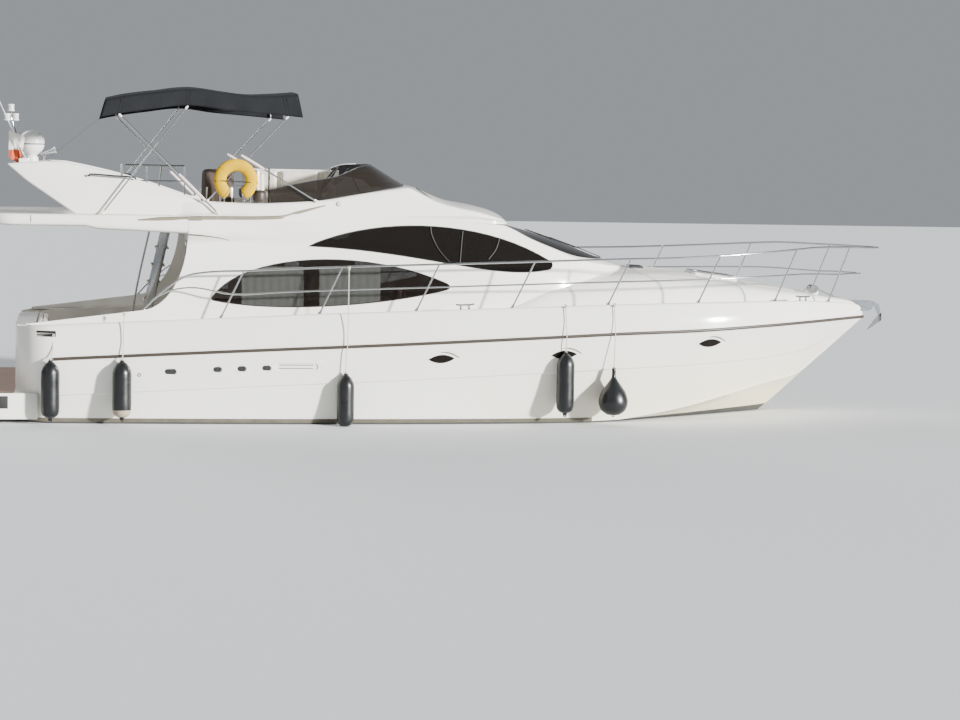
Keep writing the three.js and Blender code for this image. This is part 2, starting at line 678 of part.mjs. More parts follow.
// Flybridge: floor slab with the overhang over the cockpit, and the coaming on it.
const SLAB = rows(
  ["x", "half", "bottom"],
  [-6330, 1380, 2590],
  [-6290, 1560, 2578],
  [-6200, 1670, 2572],
  [-6000, 1725, 2570],
  [-5090, 1742, 2570],
  [-4940, 1742, 2532],
  [-4400, 1740, 2515],
  [-3771, 1712, 2486],
  [-3770, 1711, 2663],
  [-3590, 1686, 2663],
);
const COAMING = rows(
  ["x", "half", "top", "crown", "drawnIn"],
  [-3600, 1600, 2918, 2918, 0],
  [-3200, 1594, 2900, 2900, 0],
  [-2860, 1588, 2894, 2894, 0],
  [-2500, 1560, 2908, 2908, 0],
  [-2000, 1500, 2944, 2944, 0],
  [-1500, 1452, 3030, 3030, 0],
  [-1000, 1415, 3108, 3116, 0],
  [-820, 1400, 3122, 3146, 0],
  [-640, 1388, 3035, 3128, 0],
  [-430, 1375, 2940, 3040, 0],
  [-200, 1360, 2880, 2956, 0],
  [140, 1325, 2815, 2897, 0],
  [400, 1220, 2748, 2836, 20],
  [500, 1120, 2718, 2796, 110],
  [570, 960, 2694, 2748, 260],
  [615, 640, 2678, 2710, 560],
  [640, 220, 2668, 2684, 980],
);
const coamingLine = columns(COAMING);
const HATCHWAY = { x0: -4720, x1: -3800, y0: 470, y1: 1130 };
const TUB_FORE = -1040;

// The coaming's outer form and the deck edge below it, from the shoulder of the deckhouse up.
function coamingHalf(x) {
  const half = coamingLine.half(x);
  const top = coamingLine.top(x);
  const crown = coamingLine.crown(x);
  const edge = houseLine.shoulder(x) - 2 - Math.max(0, coamingLine.drawnIn(x));
  const bottom = ROOF_Z + GAP;
  return [
    [0, bottom],
    [edge, bottom],
    [edge - 4, bottom + Math.min(FLY_Z - bottom, (top - bottom) * 0.4)],
    [half, bottom + Math.min(FLY_Z + 40 - bottom, (top - bottom) * 0.6)],
    [half - 22, top - (top - bottom) * 0.12],
    [half - 60, top],
    [half * 0.6, crown - (crown - top) * 0.3 + 1],
    [0, crown + 2],
  ];
}

const COAMING_X = [
  -3600, -3200, -2860, -2500, -2200, -2000, -1750, -1500, -1250, -1000, -900, -820, -730, -640, -540, -430,
  -200, 140, 290, 400, 500, 570, 615, 640,
];

function slabHalf({ half, bottom }, fore) {
  const depth = FLY_Z - bottom;
  const top = fore ? FLY_Z - 3 : FLY_Z;
  return [
    [0, bottom],
    [half - 60, bottom],
    [half - 14, bottom + depth * 0.12],
    [half, bottom + depth * 0.4],
    [half - 4, top - depth * 0.14],
    [half - 24, top],
    [0, top],
  ];
}

function buildFlybridge() {
  const slab = loft(SLAB.map((row, i) => fullRing(row.x, slabHalf(row, i === SLAB.length - 1))));
  const coaming = loft(COAMING_X.map((x) => fullRing(x, coamingHalf(x))));
  const tubShape = new THREE.Shape()
    .moveTo(-3700, -1480)
    .lineTo(-2600, -1455)
    .lineTo(-1700, -1360)
    .bezierCurveTo(-1250, -1290, TUB_FORE, -1000, TUB_FORE, 0)
    .bezierCurveTo(TUB_FORE, 1000, -1250, 1290, -1700, 1360)
    .lineTo(-2600, 1455)
    .lineTo(-3700, 1480);
  const tub = plateXY(tubShape, FLY_Z, 3600, 8);
  const hatchway = box(HATCHWAY.x0, HATCHWAY.x1, HATCHWAY.y0, HATCHWAY.y1, 2300, 3000);
  add("flybridge", cut(join(slab, coaming), tub, hatchway), gelcoat);
}

// The radar arch: two swept wings and a beam between them.
const ARCH = { inner: 1440, outer: 1585, lean: 0.12, foreX: -3602 };
function archForm() {
  const wing = new THREE.Shape()
    .moveTo(ARCH.foreX, FLY_Z + GAP)
    .lineTo(ARCH.foreX, 2916)
    .bezierCurveTo(-3990, 3050, -4500, 3240, -5380, 3392)
    .lineTo(-5620, 3402)
    .lineTo(-6110, 3362)
    .lineTo(-5860, 3150)
    .lineTo(-5228, FLY_Z + GAP);
  const lean = new THREE.Matrix4().makeShear(0, 0, 0, 0, 0, -ARCH.lean);
  const upright = plateXZ(wing, ARCH.inner, ARCH.outer, 8).translate(0, 0, -FLY_Z);
  const port = upright.applyMatrix4(lean).translate(0, 0, FLY_Z);
  const stbd = mirrorY(port);
  const beamShape = outline([
    [-6098, 3358],
    [-6060, 3312],
    [-5720, 3262],
    [-5560, 3290],
    [-5520, 3360],
    [-5620, 3401],
  ]);
  const beam = plateXZ(beamShape, -ARCH.inner + 30, ARCH.inner - 30);
  return join(stbd, port, beam);
}

// The arch with its dome and its light stand.
function buildArch() {
  const z = 3372; // just inside the top of the beam
  const profile = [
    [0, 0],
    [95, 0],
    [88, 60],
    [70, 80],
    [110, 95],
    [158, 150],
    [172, 215],
    [165, 285],
    [130, 345],
    [72, 388],
    [0, 402],
  ].map(([r, h]) => new THREE.Vector2(r, h));
  const dome = new THREE.LatheGeometry(profile, 16).rotateX(Math.PI / 2).translate(-5800, 0, z);
  const base = v3(-5925, -330, 3400);
  const top = v3(-6090, -330, 3960);
  const lamp = (x, h) =>
    new THREE.CylinderGeometry(46, 46, 92, 10).rotateX(Math.PI / 2).translate(x, -330, h);
  const mast = join(
    rod(base, top, 17),
    box(-6165, -6015, -342, -318, 3915, 3935),
    lamp(-6140, 3975),
    lamp(-6030, 3975),
    rod(v3(-6090, -330, 3930), v3(-6090, -330, 4070), 14, 6),
    lamp(-6090, 4100),
  );
  const whip = rod(v3(-5892, -420, 3405), v3(-6330, -420, 4380), 9, 6);
  const ferrule = rod(v3(-5890, -420, 3400), v3(-5970, -420, 3574), 20, 10);
  const foot = outline([
    [-5985, 3345],
    [-5850, 3357],
    [-5850, 3425],
    [-5985, 3425],
  ]);
  const bell = new THREE.CylinderGeometry(45, 15, 215, 12).rotateZ(-1.27).translate(-5600, 0, 3512);
  const horn = join(bell, rod(v3(-5650, 0, 3370), v3(-5650, 0, 3500), 16));
  add("radar_arch", join(archForm(), dome, mast, whip, ferrule, plateXZ(foot, -452, -298), horn), gelcoat);
}

// Smoked wind deflector round the fore end of the flybridge.
function buildDeflector() {
  const path = [
    { u: v3(-2690, 1500, 2902), w: v3(-2700, 1492, 3075) },
    { u: v3(-2150, 1452, 2922), w: v3(-2170, 1432, 3190) },
    { u: v3(-1750, 1405, 2990), w: v3(-1800, 1372, 3262) },
    { u: v3(-1360, 1352, 3052), w: v3(-1520, 1285, 3380) },
    { u: v3(-1060, 1230, 3112), w: v3(-1390, 1115, 3408) },
    { u: v3(-870, 900, 3144), w: v3(-1290, 820, 3416) },
    { u: v3(-800, 450, 3152), w: v3(-1235, 410, 3422) },
    { u: v3(-785, 0, 3154), w: v3(-1215, 0, 3424) },
  ];
  const mirror = (p) => v3(p.x, -p.y, p.z);
  const all = [...path.map((p) => ({ u: mirror(p.u), w: mirror(p.w) })), ...path.slice(0, -1).reverse()];
  const t = 10;
  const rings = all.map(({ u, w }, i) => {
    const before = all[Math.max(0, i - 1)].u;
    const after = all[Math.min(all.length - 1, i + 1)].u;
    const out = after.clone().sub(before).cross(w.clone().sub(u)).normalize().multiplyScalar(t);
    return [u, w, w.clone().add(out), u.clone().add(out)];
  });
  add("deflector", cut(loft(rings), grown(coamingSolid())), smoked);
}

const coamingSolid = () => solidOf(loft(COAMING_X.map((x) => fullRing(x, coamingHalf(x)))));

// Bimini: a canopy with side valances over three hoops, and braced legs each side.
const BIMINI = rows(
  ["x", "top", "hem"],
  [-4915, 4225, 3985],
  [-4680, 4275, 4035],
  [-4300, 4330, 4095],
  [-3780, 4385, 4160],
  [-3300, 4345, 4110],
  [-2900, 4310, 4080],
  [-2500, 4325, 4050],
  [-2270, 4345, 4030],
);
const biminiLine = columns(BIMINI);
const CANOPY = { half: 1560, t: 14, crown: 45 };

function canopyRing(x) {
  const top = biminiLine.top(x);
  const hem = biminiLine.hem(x);
  const { half, t, crown } = CANOPY;
  const outer = [
    [half, hem],
    [half - 6, top - 60],
    [half - 40, top - 16],
    [half - 130, top],
    [half * 0.5, top + crown * 0.75],
    [0, top + crown],
  ];
  const inner = outer.map(([y, z], i) => [Math.max(0, y - (i < 3 ? t : 0)), z - (i < 2 ? 0 : t)]);
  const outside = [...outer.map(([y, z]) => [-y, z]), ...outer.slice(0, -1).reverse()];
  const inside = [...inner.slice(0, -1), ...inner.slice().reverse().map(([y, z]) => [-y, z])];
  return [...outside, ...inside].map(([y, z]) => v3(x, y, z));
}

const HOOPS_X = [-4671, -3788, -2470];
const LEG_Y = 1538;

function hoop(x) {
  const top = biminiLine.top(x) - 30;
  const hem = biminiLine.hem(x) - 10;
  const half = LEG_Y - 16;
  const points = [
    v3(x, -half, hem),
    v3(x, -half + 4, top - 90),
    v3(x, -half + 70, top - 18),
    v3(x, -half * 0.5, top + 14),
    v3(x, 0, top + 28),
    v3(x, half * 0.5, top + 14),
    v3(x, half - 70, top - 18),
    v3(x, half - 4, top - 90),
    v3(x, half, hem),
  ];
  return tube(points, THIN_R, 14, 5, 0.3);
}

// Bimini legs: each runs from its foot up to its hoop, and they cross in a pair.
const LEGS = [
  { foot: [-3377, 1640, 2750], head: [-4671, LEG_Y - 16, 4024] },
  { foot: [-4887, 1640, 2738], head: [-3788, LEG_Y - 16, 4150] },
  { foot: [-3536, 1568, 2906], head: [-2470, LEG_Y - 16, 4042] },
  { foot: [-2072, 1503, 2930], head: [-3003, 1546, 3474] },
];

function buildBimini() {
  const xs = [-4915, -4680, -4400, -4040, -3780, -3440, -3000, -2700, -2430, -2270];
  add("bimini_canopy", loft(xs.map(canopyRing)), canvas);
  const legs = [-1, 1].flatMap((sign) => {
    const place = ([x, y, z]) => v3(x, sign * y, z);
    return LEGS.map(({ foot, head }) => rod(place(foot), place(head), THIN_R, 5));
  });
  const tie = (sign) =>
    tube(HOOPS_X.map((x) => v3(x, sign * (LEG_Y - 16), biminiLine.hem(x) + 20)), 8, 4, 4);
  const frame = join(...HOOPS_X.map(hoop), ...legs, tie(-1), tie(1));
  add("bimini_frame", cut(frame, grown(coamingSolid()), grown(archForm()), slabTop()), stainless);
}

const slabTop = () => box(-6400, -3500, -2000, 2000, 2500, FLY_Z + GAP);

// Guard rails: stanchions lean forward, with a top rail and a middle rail, and both rise towards the bow.
const STANCHION_X = [-3350, -2061, -782, 505, 1822];
const STANCHION = { height: 614, lean: 300, inset: 68 };
const railFoot = (x) => v3(x, gunwaleY(x) - STANCHION.inset, deckLine.gunZ(x));
const railRise = (x) => 160 * Math.pow(THREE.MathUtils.clamp((x - 2400) / 2600, 0, 1), 1.6);
const railAt = (x, share) =>
  railFoot(x).add(v3(STANCHION.lean * share, -18 * share, (STANCHION.height + railRise(x)) * share));
const RAIL_JOINT = 3106;
const PULPIT_X = [RAIL_JOINT + 14, 4335, 5326];
// After ends of the two rails, down to the coaming: x, y, z.
const TOP_RAIL_TAIL = [
  [-4340, 1664, 1496],
  [-4225, 1722, 1617],
  [-4068, 1785, 1758],
  [-3911, 1830, 1880],
  [-3740, 1858, 1962],
  [-3420, 1880, 2006],
];
const MID_RAIL_TAIL = [
  [-4185, 1738, 1655],
  [-3990, 1800, 1752],
  [-3674, 1850, 1790],
];

function railPoints(share, from, to, steps) {
  const points = [];
  for (let i = 0; i <= steps; i++) points.push(railAt(from + ((to - from) * i) / steps, share));
  return points;
}

function buildRails(house) {
  const flip = (p, sign) => v3(p.x, sign * p.y, p.z);
  for (const [side, sign] of [
    ["stbd", -1],
    ["port", 1],
  ]) {
    const place = (list) => list.map((p) => flip(p, sign));
    const rail = (tail, share) =>
      place([...tail.map((p) => v3(...p)), ...railPoints(share, -3350, RAIL_JOINT - 12, 10)]);
    const pieces = [
      tube(rail(TOP_RAIL_TAIL, 1), TUBE_R, 18, 6),
      tube(rail(MID_RAIL_TAIL, 0.5), THIN_R, 14, 5),
      ...STANCHION_X.map((x) => rod(flip(railAt(x, -0.01), sign), flip(railAt(x, 1), sign), THIN_R, 5)),
    ];
    add(`guard_rail_${side}`, cut(join(...pieces), deckGrown(), grown(house)), stainless);
  }
  const ahead = (share) => {
    const half = railPoints(share, RAIL_JOINT + 12, 4700, 5);
    const nose = [
      railAt(PULPIT_X[2], share),
      v3(5430 + 500 * share, 300, 1612 + 750 * share),
      v3(5686 + 514 * share, 0, 1606 + 746 * share),
    ];
    const port = [...half, ...nose];
    const stbd = port.slice(0, -1).reverse().map((p) => flip(p, -1));
    return [...port, ...stbd];
  };
  const legs = [-1, 1].flatMap((sign) =>
    PULPIT_X.map((x) => rod(flip(railAt(x, -0.01), sign), flip(railAt(x, 1), sign), THIN_R, 5)),
  );
  const pulpit = join(tube(ahead(1), TUBE_R, 28, 6), tube(ahead(0.5), THIN_R, 24, 5), ...legs);
  add("pulpit", cut(pulpit, deckGrown()), stainless);
}

const deckGrown = () => deckForm.add(deckForm.translate([0, 0, GAP]));

// Swim platform, its ladder and the transom gate.
function buildStern() {
  const { aft, half, bottom, top, corner } = PLATFORM;
  const plan = (inset, fore) =>
    new THREE.Shape()
      .moveTo(fore, -half + inset)
      .lineTo(aft + corner, -half + inset)
      .absarc(aft + corner, -half + corner, corner - inset, -Math.PI / 2, -Math.PI, true)
      .lineTo(aft + inset, half - corner)
      .absarc(aft + corner, half - corner, corner - inset, Math.PI, Math.PI / 2, true)
      .lineTo(fore, half - inset);
  const hullClear = grown(hullForm, 1);
  const lugs = [-922, -518].map((y) => box(aft - 44, aft + 60, y - 12, y + 12, top - 60, top + 66));
  add("swim_platform", join(cut(plateXY(plan(0, -5700), bottom, top, 6), hullClear), ...lugs), gelcoat);

  const gx = TRANSOM_X + 70;
  const gate = roundedBox(gx, gx + GATE.t, GATE.y0 + 8, GATE.y1 - 8, SOLE_Z + 12, 1225, 8);
  add("transom_gate", gate, gelcoat);

  const ladderX = aft - 22;
  const ladderZ = top + 44;
  const rails = [-880, -560].map((y) => rod(v3(ladderX, y, ladderZ), v3(ladderX + 830, y, ladderZ), 15));
  const rungs = [110, 330, 550, 770].map((d) =>
    box(ladderX + d - 32, ladderX + d + 32, -880, -560, ladderZ - 12, ladderZ + 12),
  );
  const axle = rod(v3(ladderX, -895, ladderZ), v3(ladderX, -545, ladderZ), 17);
  add("boarding_ladder", join(...rails, ...rungs, axle), stainless);
}

// Running gear under the stern: propeller with its shaft, bracket and rudder each side.
const BLADE = rows(
  ["s", "chord", "t"],
  [0, 80, 16],
  [0.2, 110, 14],
  [0.42, 150, 12],
  [0.66, 170, 10],
  [0.86, 140, 9],
  [1, 70, 8],
);
const BLADE_SECTION = [
  [-0.5, 0.3],
  [0, 0.5],
  [0.5, 0.3],
  [0.5, -0.3],
  [0, -0.5],
  [-0.5, -0.3],
];

function propeller() {
  const { hub, hubLength } = PROP;
  const profile = [
    [0, -SHAFT.length],
    [SHAFT.r, -SHAFT.length],
    [SHAFT.r, -hubLength / 2],
    [hub * 0.85, -hubLength / 2],
    [hub, -hubLength / 4],
    [hub * 0.9, hubLength / 2],
    [hub * 0.5, hubLength / 2 + 48],
    [0, hubLength / 2 + 66],
  ].map(([r, y]) => new THREE.Vector2(r, y));
  const core = new THREE.LatheGeometry(profile, 12);
  const blades = [];
  for (let i = 0; i < PROP.blades; i++) {
    const rings = BLADE.map(({ s, chord, t }) => {
      const r = PROP.hub * 0.6 + (PROP.r - PROP.hub * 0.6) * s;
      const pitch = Math.atan2(300, 2 * Math.PI * r);
      return BLADE_SECTION.map(([c, h]) => {
        const [along, up] = [c * chord, h * t];
        return v3(
          along * Math.cos(pitch) - up * Math.sin(pitch),
          along * Math.sin(pitch) + up * Math.cos(pitch),
          r,
        );
      });
    });
    blades.push(loft(rings).rotateY((i * 2 * Math.PI) / PROP.blades));
  }
  return join(core, ...blades);
}

// Turns a piece made along Y to lie along the propeller shaft, at a distance ahead of the screw.
function alongShaft(geometry, sign, ahead) {
  const tilt = Math.atan(SHAFT.slope);
  return geometry
    .rotateZ(Math.PI / 2)
    .rotateY(-tilt)
    .translate(SHAFT.propX + ahead * Math.cos(tilt), sign * SHAFT.y, SHAFT.propZ + ahead * Math.sin(tilt));
}

// A round bar along the shaft line, between two distances ahead of the screw.
function shaftPiece(radius, sign, from, to, sides = 16) {
  return alongShaft(new THREE.CylinderGeometry(radius, radius, to - from, sides), sign, (from + to) / 2);
}

// The tube where the shaft goes into the bottom.
const LOG_AFT = 1600;
const shaftLog = (sign) => shaftPiece(48, sign, LOG_AFT, 2300);

const BRACKET_AHEAD = 150;
function shaftBracket(sign) {
  const barrel = shaftPiece(44, sign, BRACKET_AHEAD - 60, BRACKET_AHEAD + 60);
  const core = shaftPiece(40, sign, BRACKET_AHEAD - 59, BRACKET_AHEAD + 59);
  const bore = shaftPiece(SHAFT.r + 6, sign, BRACKET_AHEAD - 100, BRACKET_AHEAD + 100, 12);
  const x = SHAFT.propX + BRACKET_AHEAD;
  const y = sign * SHAFT.y;
  const z = SHAFT.propZ + BRACKET_AHEAD * SHAFT.slope;
  const strut = loft([strutRing(x, y, z + 30, 90, 22), strutRing(x + 60, y - sign * 6, -280, 120, 26)]);
  return cut(join(barrel, cut(strut, core)), bore);
}

function rudderBoss(sign) {
  const { x, top } = RUDDER;
  const y = sign * SHAFT.y;
  const cone = new THREE.CylinderGeometry(52, 38, 200, 16).rotateX(Math.PI / 2).translate(x, y, top + 120);
  const hole = new THREE.CylinderGeometry(26, 26, 60, 12).rotateX(Math.PI / 2).translate(x, y, top + 20);
  return cut(cone, hole);
}

function buildRunningGear() {
  for (const [side, sign] of [
    ["stbd", -1],
    ["port", 1],
  ]) {
    const screw = alongShaft(flipped(geometryOf(propeller()).scale(-sign, 1, 1), sign > 0), sign, 0);
    add(`propeller_${side}`, screw, bronze);
    const { x, top, bottom, chord, t } = RUDDER;
    const y = sign * SHAFT.y;
    const foil = (z, c) => [
      v3(x + c * 0.32, y, z),
      v3(x + c * 0.18, y - t / 2, z),
      v3(x - c * 0.1, y - t / 2, z),
      v3(x - c * 0.68, y - 4, z),
      v3(x - c * 0.68, y + 4, z),
      v3(x - c * 0.1, y + t / 2, z),
      v3(x + c * 0.18, y + t / 2, z),
    ];
    const blade = loft([foil(bottom, chord * 0.8), foil(bottom + 200, chord * 0.95), foil(top - 40, chord)]);
    const stock = rod(v3(x, y, top - 60), v3(x, y, top + 34), 21, 12);
    add(`rudder_${side}`, join(blade, stock), bronze);
  }
}

function strutRing(x, y, z, chord, t) {
  return [
    v3(x + chord / 2, y, z),
    v3(x + chord / 5, y - t / 2, z),
    v3(x - chord / 3, y - t / 2, z),
    v3(x - chord / 2, y, z),
    v3(x - chord / 3, y + t / 2, z),
    v3(x + chord / 5, y + t / 2, z),
  ];
}

// Seats, console and stairs.
function buildFlybridgeFittings() {
  const floor = FLY_Z + GAP;
  const consoleSide = new THREE.Shape()
    .moveTo(-1780, floor)
    .lineTo(-1250, floor)
    .lineTo(-1250, 3080)
    .lineTo(-1420, 3225)
    .lineTo(-1640, 3262)
    .lineTo(-1790, 3130);
  add("fly_console", plateXZ(consoleSide, -1080, 60), gelcoat);

  const rim = [];
  for (let i = 0; i < 20; i++) {
    const a = (i * 2 * Math.PI) / 20;
    rim.push(v3(WHEEL.r * Math.cos(a), WHEEL.r * Math.sin(a), 0));
  }
  const spokes = [0, 1, 2].map((i) => {
    const spoke = new THREE.BoxGeometry(WHEEL.r, 26, 10).translate(WHEEL.r / 2, 0, -4);
    return spoke.rotateZ((i * 2 * Math.PI) / 3 + Math.PI / 2);
  });
  const boss = new THREE.CylinderGeometry(34, 34, 46, 14).rotateX(Math.PI / 2).translate(0, 0, -14);
  const wheel = join(closedTube(rim, 14, 5), ...spokes, boss);
  const placed = geometryOf(wheel).rotateY(-Math.PI / 2 + WHEEL.tilt).translate(WHEEL.x, WHEEL.y, WHEEL.z);
  add("fly_wheel", placed, blackRubber);

  const seat = join(
    box(-2820, -2280, -1180, -180, floor, 3010),
    box(-2860, -2770, -1180, -180, floor, 3330),
    roundedBox(-3560, -3120, -1180, -180, floor, 3330, 40),
    box(-3200, -2800, -1160, -200, floor, floor + 60),
  );
  add("fly_seats", seat, vinyl);
  const setteeBack = outline([
    [-2880, 1385],
    [-1760, 1290],
    [-1500, 1180],
    [-1500, 1090],
    [-1790, 1195],
    [-2880, 1290],
  ]);
  const setteeBase = outline([
    [-2880, 1380],
    [-1760, 1285],
    [-1500, 1175],
    [-1320, 960],
    [-1320, 260],
    [-1830, 260],
    [-1830, 700],
    [-2880, 800],
  ]);
  add("fly_settee", join(plateXY(setteeBase, floor, 3000), plateXY(setteeBack, 2990, 3330)), vinyl);
  const post = (x, y) => rod(v3(x, y, floor), v3(x, y, 3350), THIN_R, 5);
  const { x0, x1, y0, y1 } = HATCHWAY;
  const railX0 = x0 + 120;
  const guard = [
    v3(x1 + 60, y0 - 60, 3350),
    v3((x0 + x1) / 2, y0 - 60, 3350),
    v3(railX0 + 30, y0 - 60, 3350),
    v3(railX0, y0 - 30, 3350),
    v3(railX0, y1 - 60, 3350),
  ];
  const hatchGuard = join(
    tube(guard, TUBE_R, 12, 5, 0.2),
    post(x1 + 60, y0 - 60),
    post((x0 + x1) / 2, y0 - 60),
    post(railX0 + 2, y0 - 32),
    rod(v3(railX0, y1 - 60, floor + 0.1), v3(railX0, y1 - 60, 3350), THIN_R, 5),
  );
  const guardAbove = cut(hatchGuard, box(-5000, -3000, 0, 1400, 2000, FLY_Z + GAP));
  const foot = v3(-4360, 0, SOLE_Z + GAP);
  const head = v3(-3930, 0, 2690);
  const stringers = [y0 + 50, y1 - 50].map((y) =>
    loft([
      stringerRing(foot.x, y, foot.z),
      stringerRing(head.x, y, head.z),
    ]),
  );
  const treads = [];
  for (let i = 1; i <= 7; i++) {
    const s = i / 8;
    const x = foot.x + (head.x - foot.x) * s;
    const z = foot.z + (head.z - foot.z) * s;
    treads.push(box(x - 95, x + 95, y0 + 40, y1 - 40, z - 16, z + 16));
  }
  const handrail = tube(
    [
      v3(-4364, y0 + 50, SOLE_Z + 200),
      v3(-4450, y0 + 50, 1250),
      v3(-4120, y0 + 50, 2900),
      v3(-4060, y0 - 10, 3300),
      v3(-4060, y0 - 60, 3345),
    ],
    TUBE_R,
    12,
    5,
    0.3,
  );
  add("fly_stairs", join(...stringers, ...treads, handrail, guardAbove), stainless);
}

const stringerRing = (x, y, z) => [
  v3(x - 60, y - 14, z),
  v3(x + 60, y - 14, z),
  v3(x + 60, y + 14, z),
  v3(x - 60, y + 14, z),
];

// A tube bent into a closed loop through the given points.
function closedTube(points, radius, sides) {
  const n = points.length;
  const centre = points.reduce((s, p) => s.add(p), v3(0, 0, 0)).multiplyScalar(1 / n);
  const rings = points.map((p) => {
    const out = p.clone().sub(centre).normalize();
    const up = v3(0, 0, 1);
    const ring = [];
    for (let k = 0; k < sides; k++) {
      const a = (k * 2 * Math.PI) / sides;
      const across = p.clone().addScaledVector(out, radius * Math.cos(a));
      ring.push(across.addScaledVector(up, radius * Math.sin(a)));
    }
    return ring;
  });
  const position = rings.flat().flatMap((p) => [p.x, p.y, p.z]);
  const index = [];
  for (let r = 0; r < n; r++) {
    for (let i = 0; i < sides; i++) {
      const a = r * sides + i;
      const b = r * sides + ((i + 1) % sides);
      const c = ((r + 1) % n) * sides + ((i + 1) % sides);
      const d = ((r + 1) % n) * sides + i;
      index.push(a, b, c, a, c, d);
    }
  }
  const geometry = new THREE.BufferGeometry()
    .setAttribute("position", new THREE.Float32BufferAttribute(position, 3))
    .setIndex(index);
  return volumeOf(geometry) < 0 ? flipped(geometry) : geometry;
}

function buildCockpitAndSaloon() {
  const floor = SOLE_Z + GAP;
  const bench = join(
    box(-5700, -5180, -1250, 690, floor, 1130),
    box(-5720, -5600, -1250, 690, 1120, 1290),
  );
  add("cockpit_bench", bench, vinyl);
  const settee = join(
    box(-3300, -900, 700, 1400, floor, 1130),
    box(-3300, -900, 1290, 1400, 1120, 1480),
    box(-3300, -2700, 60, 710, floor, 1130),
    box(-920, 440, 900, 1400, floor, 1100),
  );
  const galley = join(
    roundedBox(-3100, -1300, -1400, -850, floor, 1500, 30),
    box(-1320, -880, -1380, -900, floor, 1000),
  );
  const helm = join(
    box(-900, -380, -1320, -420, floor, 1300),
    box(-960, -860, -1320, -420, floor, 1790),
    box(-400, 440, -1320, -1000, floor, 900),
  );
  const dashSide = outline([
    [420, floor],
    [560, floor],
    [560, 1600],
    [900, 1905],
    [900, 1985],
    [560, 1960],
    [320, 1840],
    [330, 1700],
    [420, 1600],
  ]);
  const dash = common(plateXZ(dashSide, -1370, 1370), box(0, 575, -1370, 1370, 0, 3000));
  const furniture = cut(join(settee, galley, helm, dash), box(-4000, 2000, -2000, 2000, 0, floor));
  const room = houseForm(WALL + 1, true).add(solidOf(plateXY(wellShape, SOLE_Z, HOUSE_FOOT + 50)));
  add("saloon_units", common(furniture, room), wood);
}

// The hatch on the foredeck, in its raised frame.
const hatchRise = deckLine.crownZ(HATCH.x + HATCH.half) - deckLine.crownZ(HATCH.x - HATCH.half);
const HATCH_TILT = Math.atan(hatchRise / (2 * HATCH.half));
const atHatch = (g) => g.rotateY(-HATCH_TILT).translate(HATCH.x, 0, deckLine.crownZ(HATCH.x) + 12);

function hatchFrame() {
  const { half } = HATCH;
  return cut(
    atHatch(roundedBox(-half - 40, half + 40, -half - 40, half + 40, -60, 22, 60)),
    atHatch(roundedBox(-half + 20, half - 20, -half + 20, half - 20, -90, 60, 40)),
  );
}

function buildForedeck() {
  const { half } = HATCH;
  add("deck_hatch", atHatch(roundedBox(-half - 20, half + 20, -half - 20, half + 20, 28, 50, 55)), smoked);

  const rollerZ = 1500;
  const cheek = outline([
    [5560, rollerZ - 60],
    [6060, rollerZ - 60],
    [6120, rollerZ - 30],
    [6150, rollerZ + 20],
    [6080, rollerZ + 70],
    [5560, rollerZ + 60],
  ]);
  const roller = join(
    plateXZ(cheek, -62, -50),
    plateXZ(cheek, 50, 62),
    box(5560, 6040, -62, 62, rollerZ - 60, rollerZ - 46),
    new THREE.CylinderGeometry(40, 40, 110, 14).translate(6085, 0, rollerZ + 22),
  );
  const shank = outline([
    [5620, rollerZ + 60],
    [6080, rollerZ + 48],
    [6180, rollerZ + 10],
    [6240, rollerZ - 120],
    [6275, rollerZ - 115],
    [6235, rollerZ + 40],
    [6120, rollerZ + 88],
    [5620, rollerZ + 96],
  ]);
  const across = (x, z, half, dx, dz) => [
    v3(x, -half, z),
    v3(x, half, z),
    v3(x - dx, half * 0.9, z - dz),
    v3(x - dx, -half * 0.9, z - dz),
  ];
  const fluke = loft([
    across(6278, rollerZ - 92, 20, 30, 26),
    across(6240, rollerZ - 190, 140, 34, 24),
    across(6085, rollerZ - 320, 22, 12, 18),
  ]);
  const anchor = join(plateXZ(shank, -16, 16), fluke, roller);
  const noClash = grown(hullForm, 1).add(grown(deckForm, 1));
  add("anchor", cut(anchor, noClash), iron);
}

// Fenders on the starboard side, each hung by a line from a rail or cleat.
const FENDERS = rows(
  ["x", "top", "bottom", "r", "lineX", "lineTop", "ball"],
  [-5540, 842, 58, 118, -5500, 1150, 0],
  [-4625, 850, 72, 122, -4600, 1452, 0],
  [-1720, 695, -36, 112, -1690, 2080, 0],
  [1223, 985, 140, 118, 1218, 1610, 0],
  [1893, 770, 135, 198, 1893, 1625, 1],
);

function fenderProfile({ top, bottom, r, ball }) {
  const h = top - bottom;
  const cylinder = [
    [0, 0],
    [32, 0],
    [34, 30],
    [r * 0.78, 66],
    [r, 140],
    [r, h - 150],
    [r * 0.78, h - 90],
    [34, h - 48],
    [30, h],
    [0, h],
  ];
  const teardrop = [
    [0, 0],
    [r * 0.45, r * 0.07],
    [r * 0.8, r * 0.34],
    [r * 0.98, r * 0.76],
    [r * 0.98, r * 1.12],
    [r * 0.82, r * 1.62],
    [r * 0.52, r * 2.05],
    [r * 0.24, r * 2.45],
    [28, r * 2.66],
    [28, h],
    [0, h],
  ];
  return (ball ? teardrop : cylinder).map(([a, b]) => new THREE.Vector2(a, b));
}

// Breadth of the hull or deck side at x and height z.
function sideY(x, z) {
  const half = z > hullLine.railZ(x) ? deckHalf(x).slice(1, 6) : hullHalf(x).slice(2, 9);
  for (let i = 0; i + 1 < half.length; i++) {
    const [y0, z0] = half[i];
    const [y1, z1] = half[i + 1];
    if (z >= z0 && z <= z1) return y0 + ((y1 - y0) * (z - z0)) / Math.max(1, z1 - z0);
  }
  return half.at(-1)[0];
}

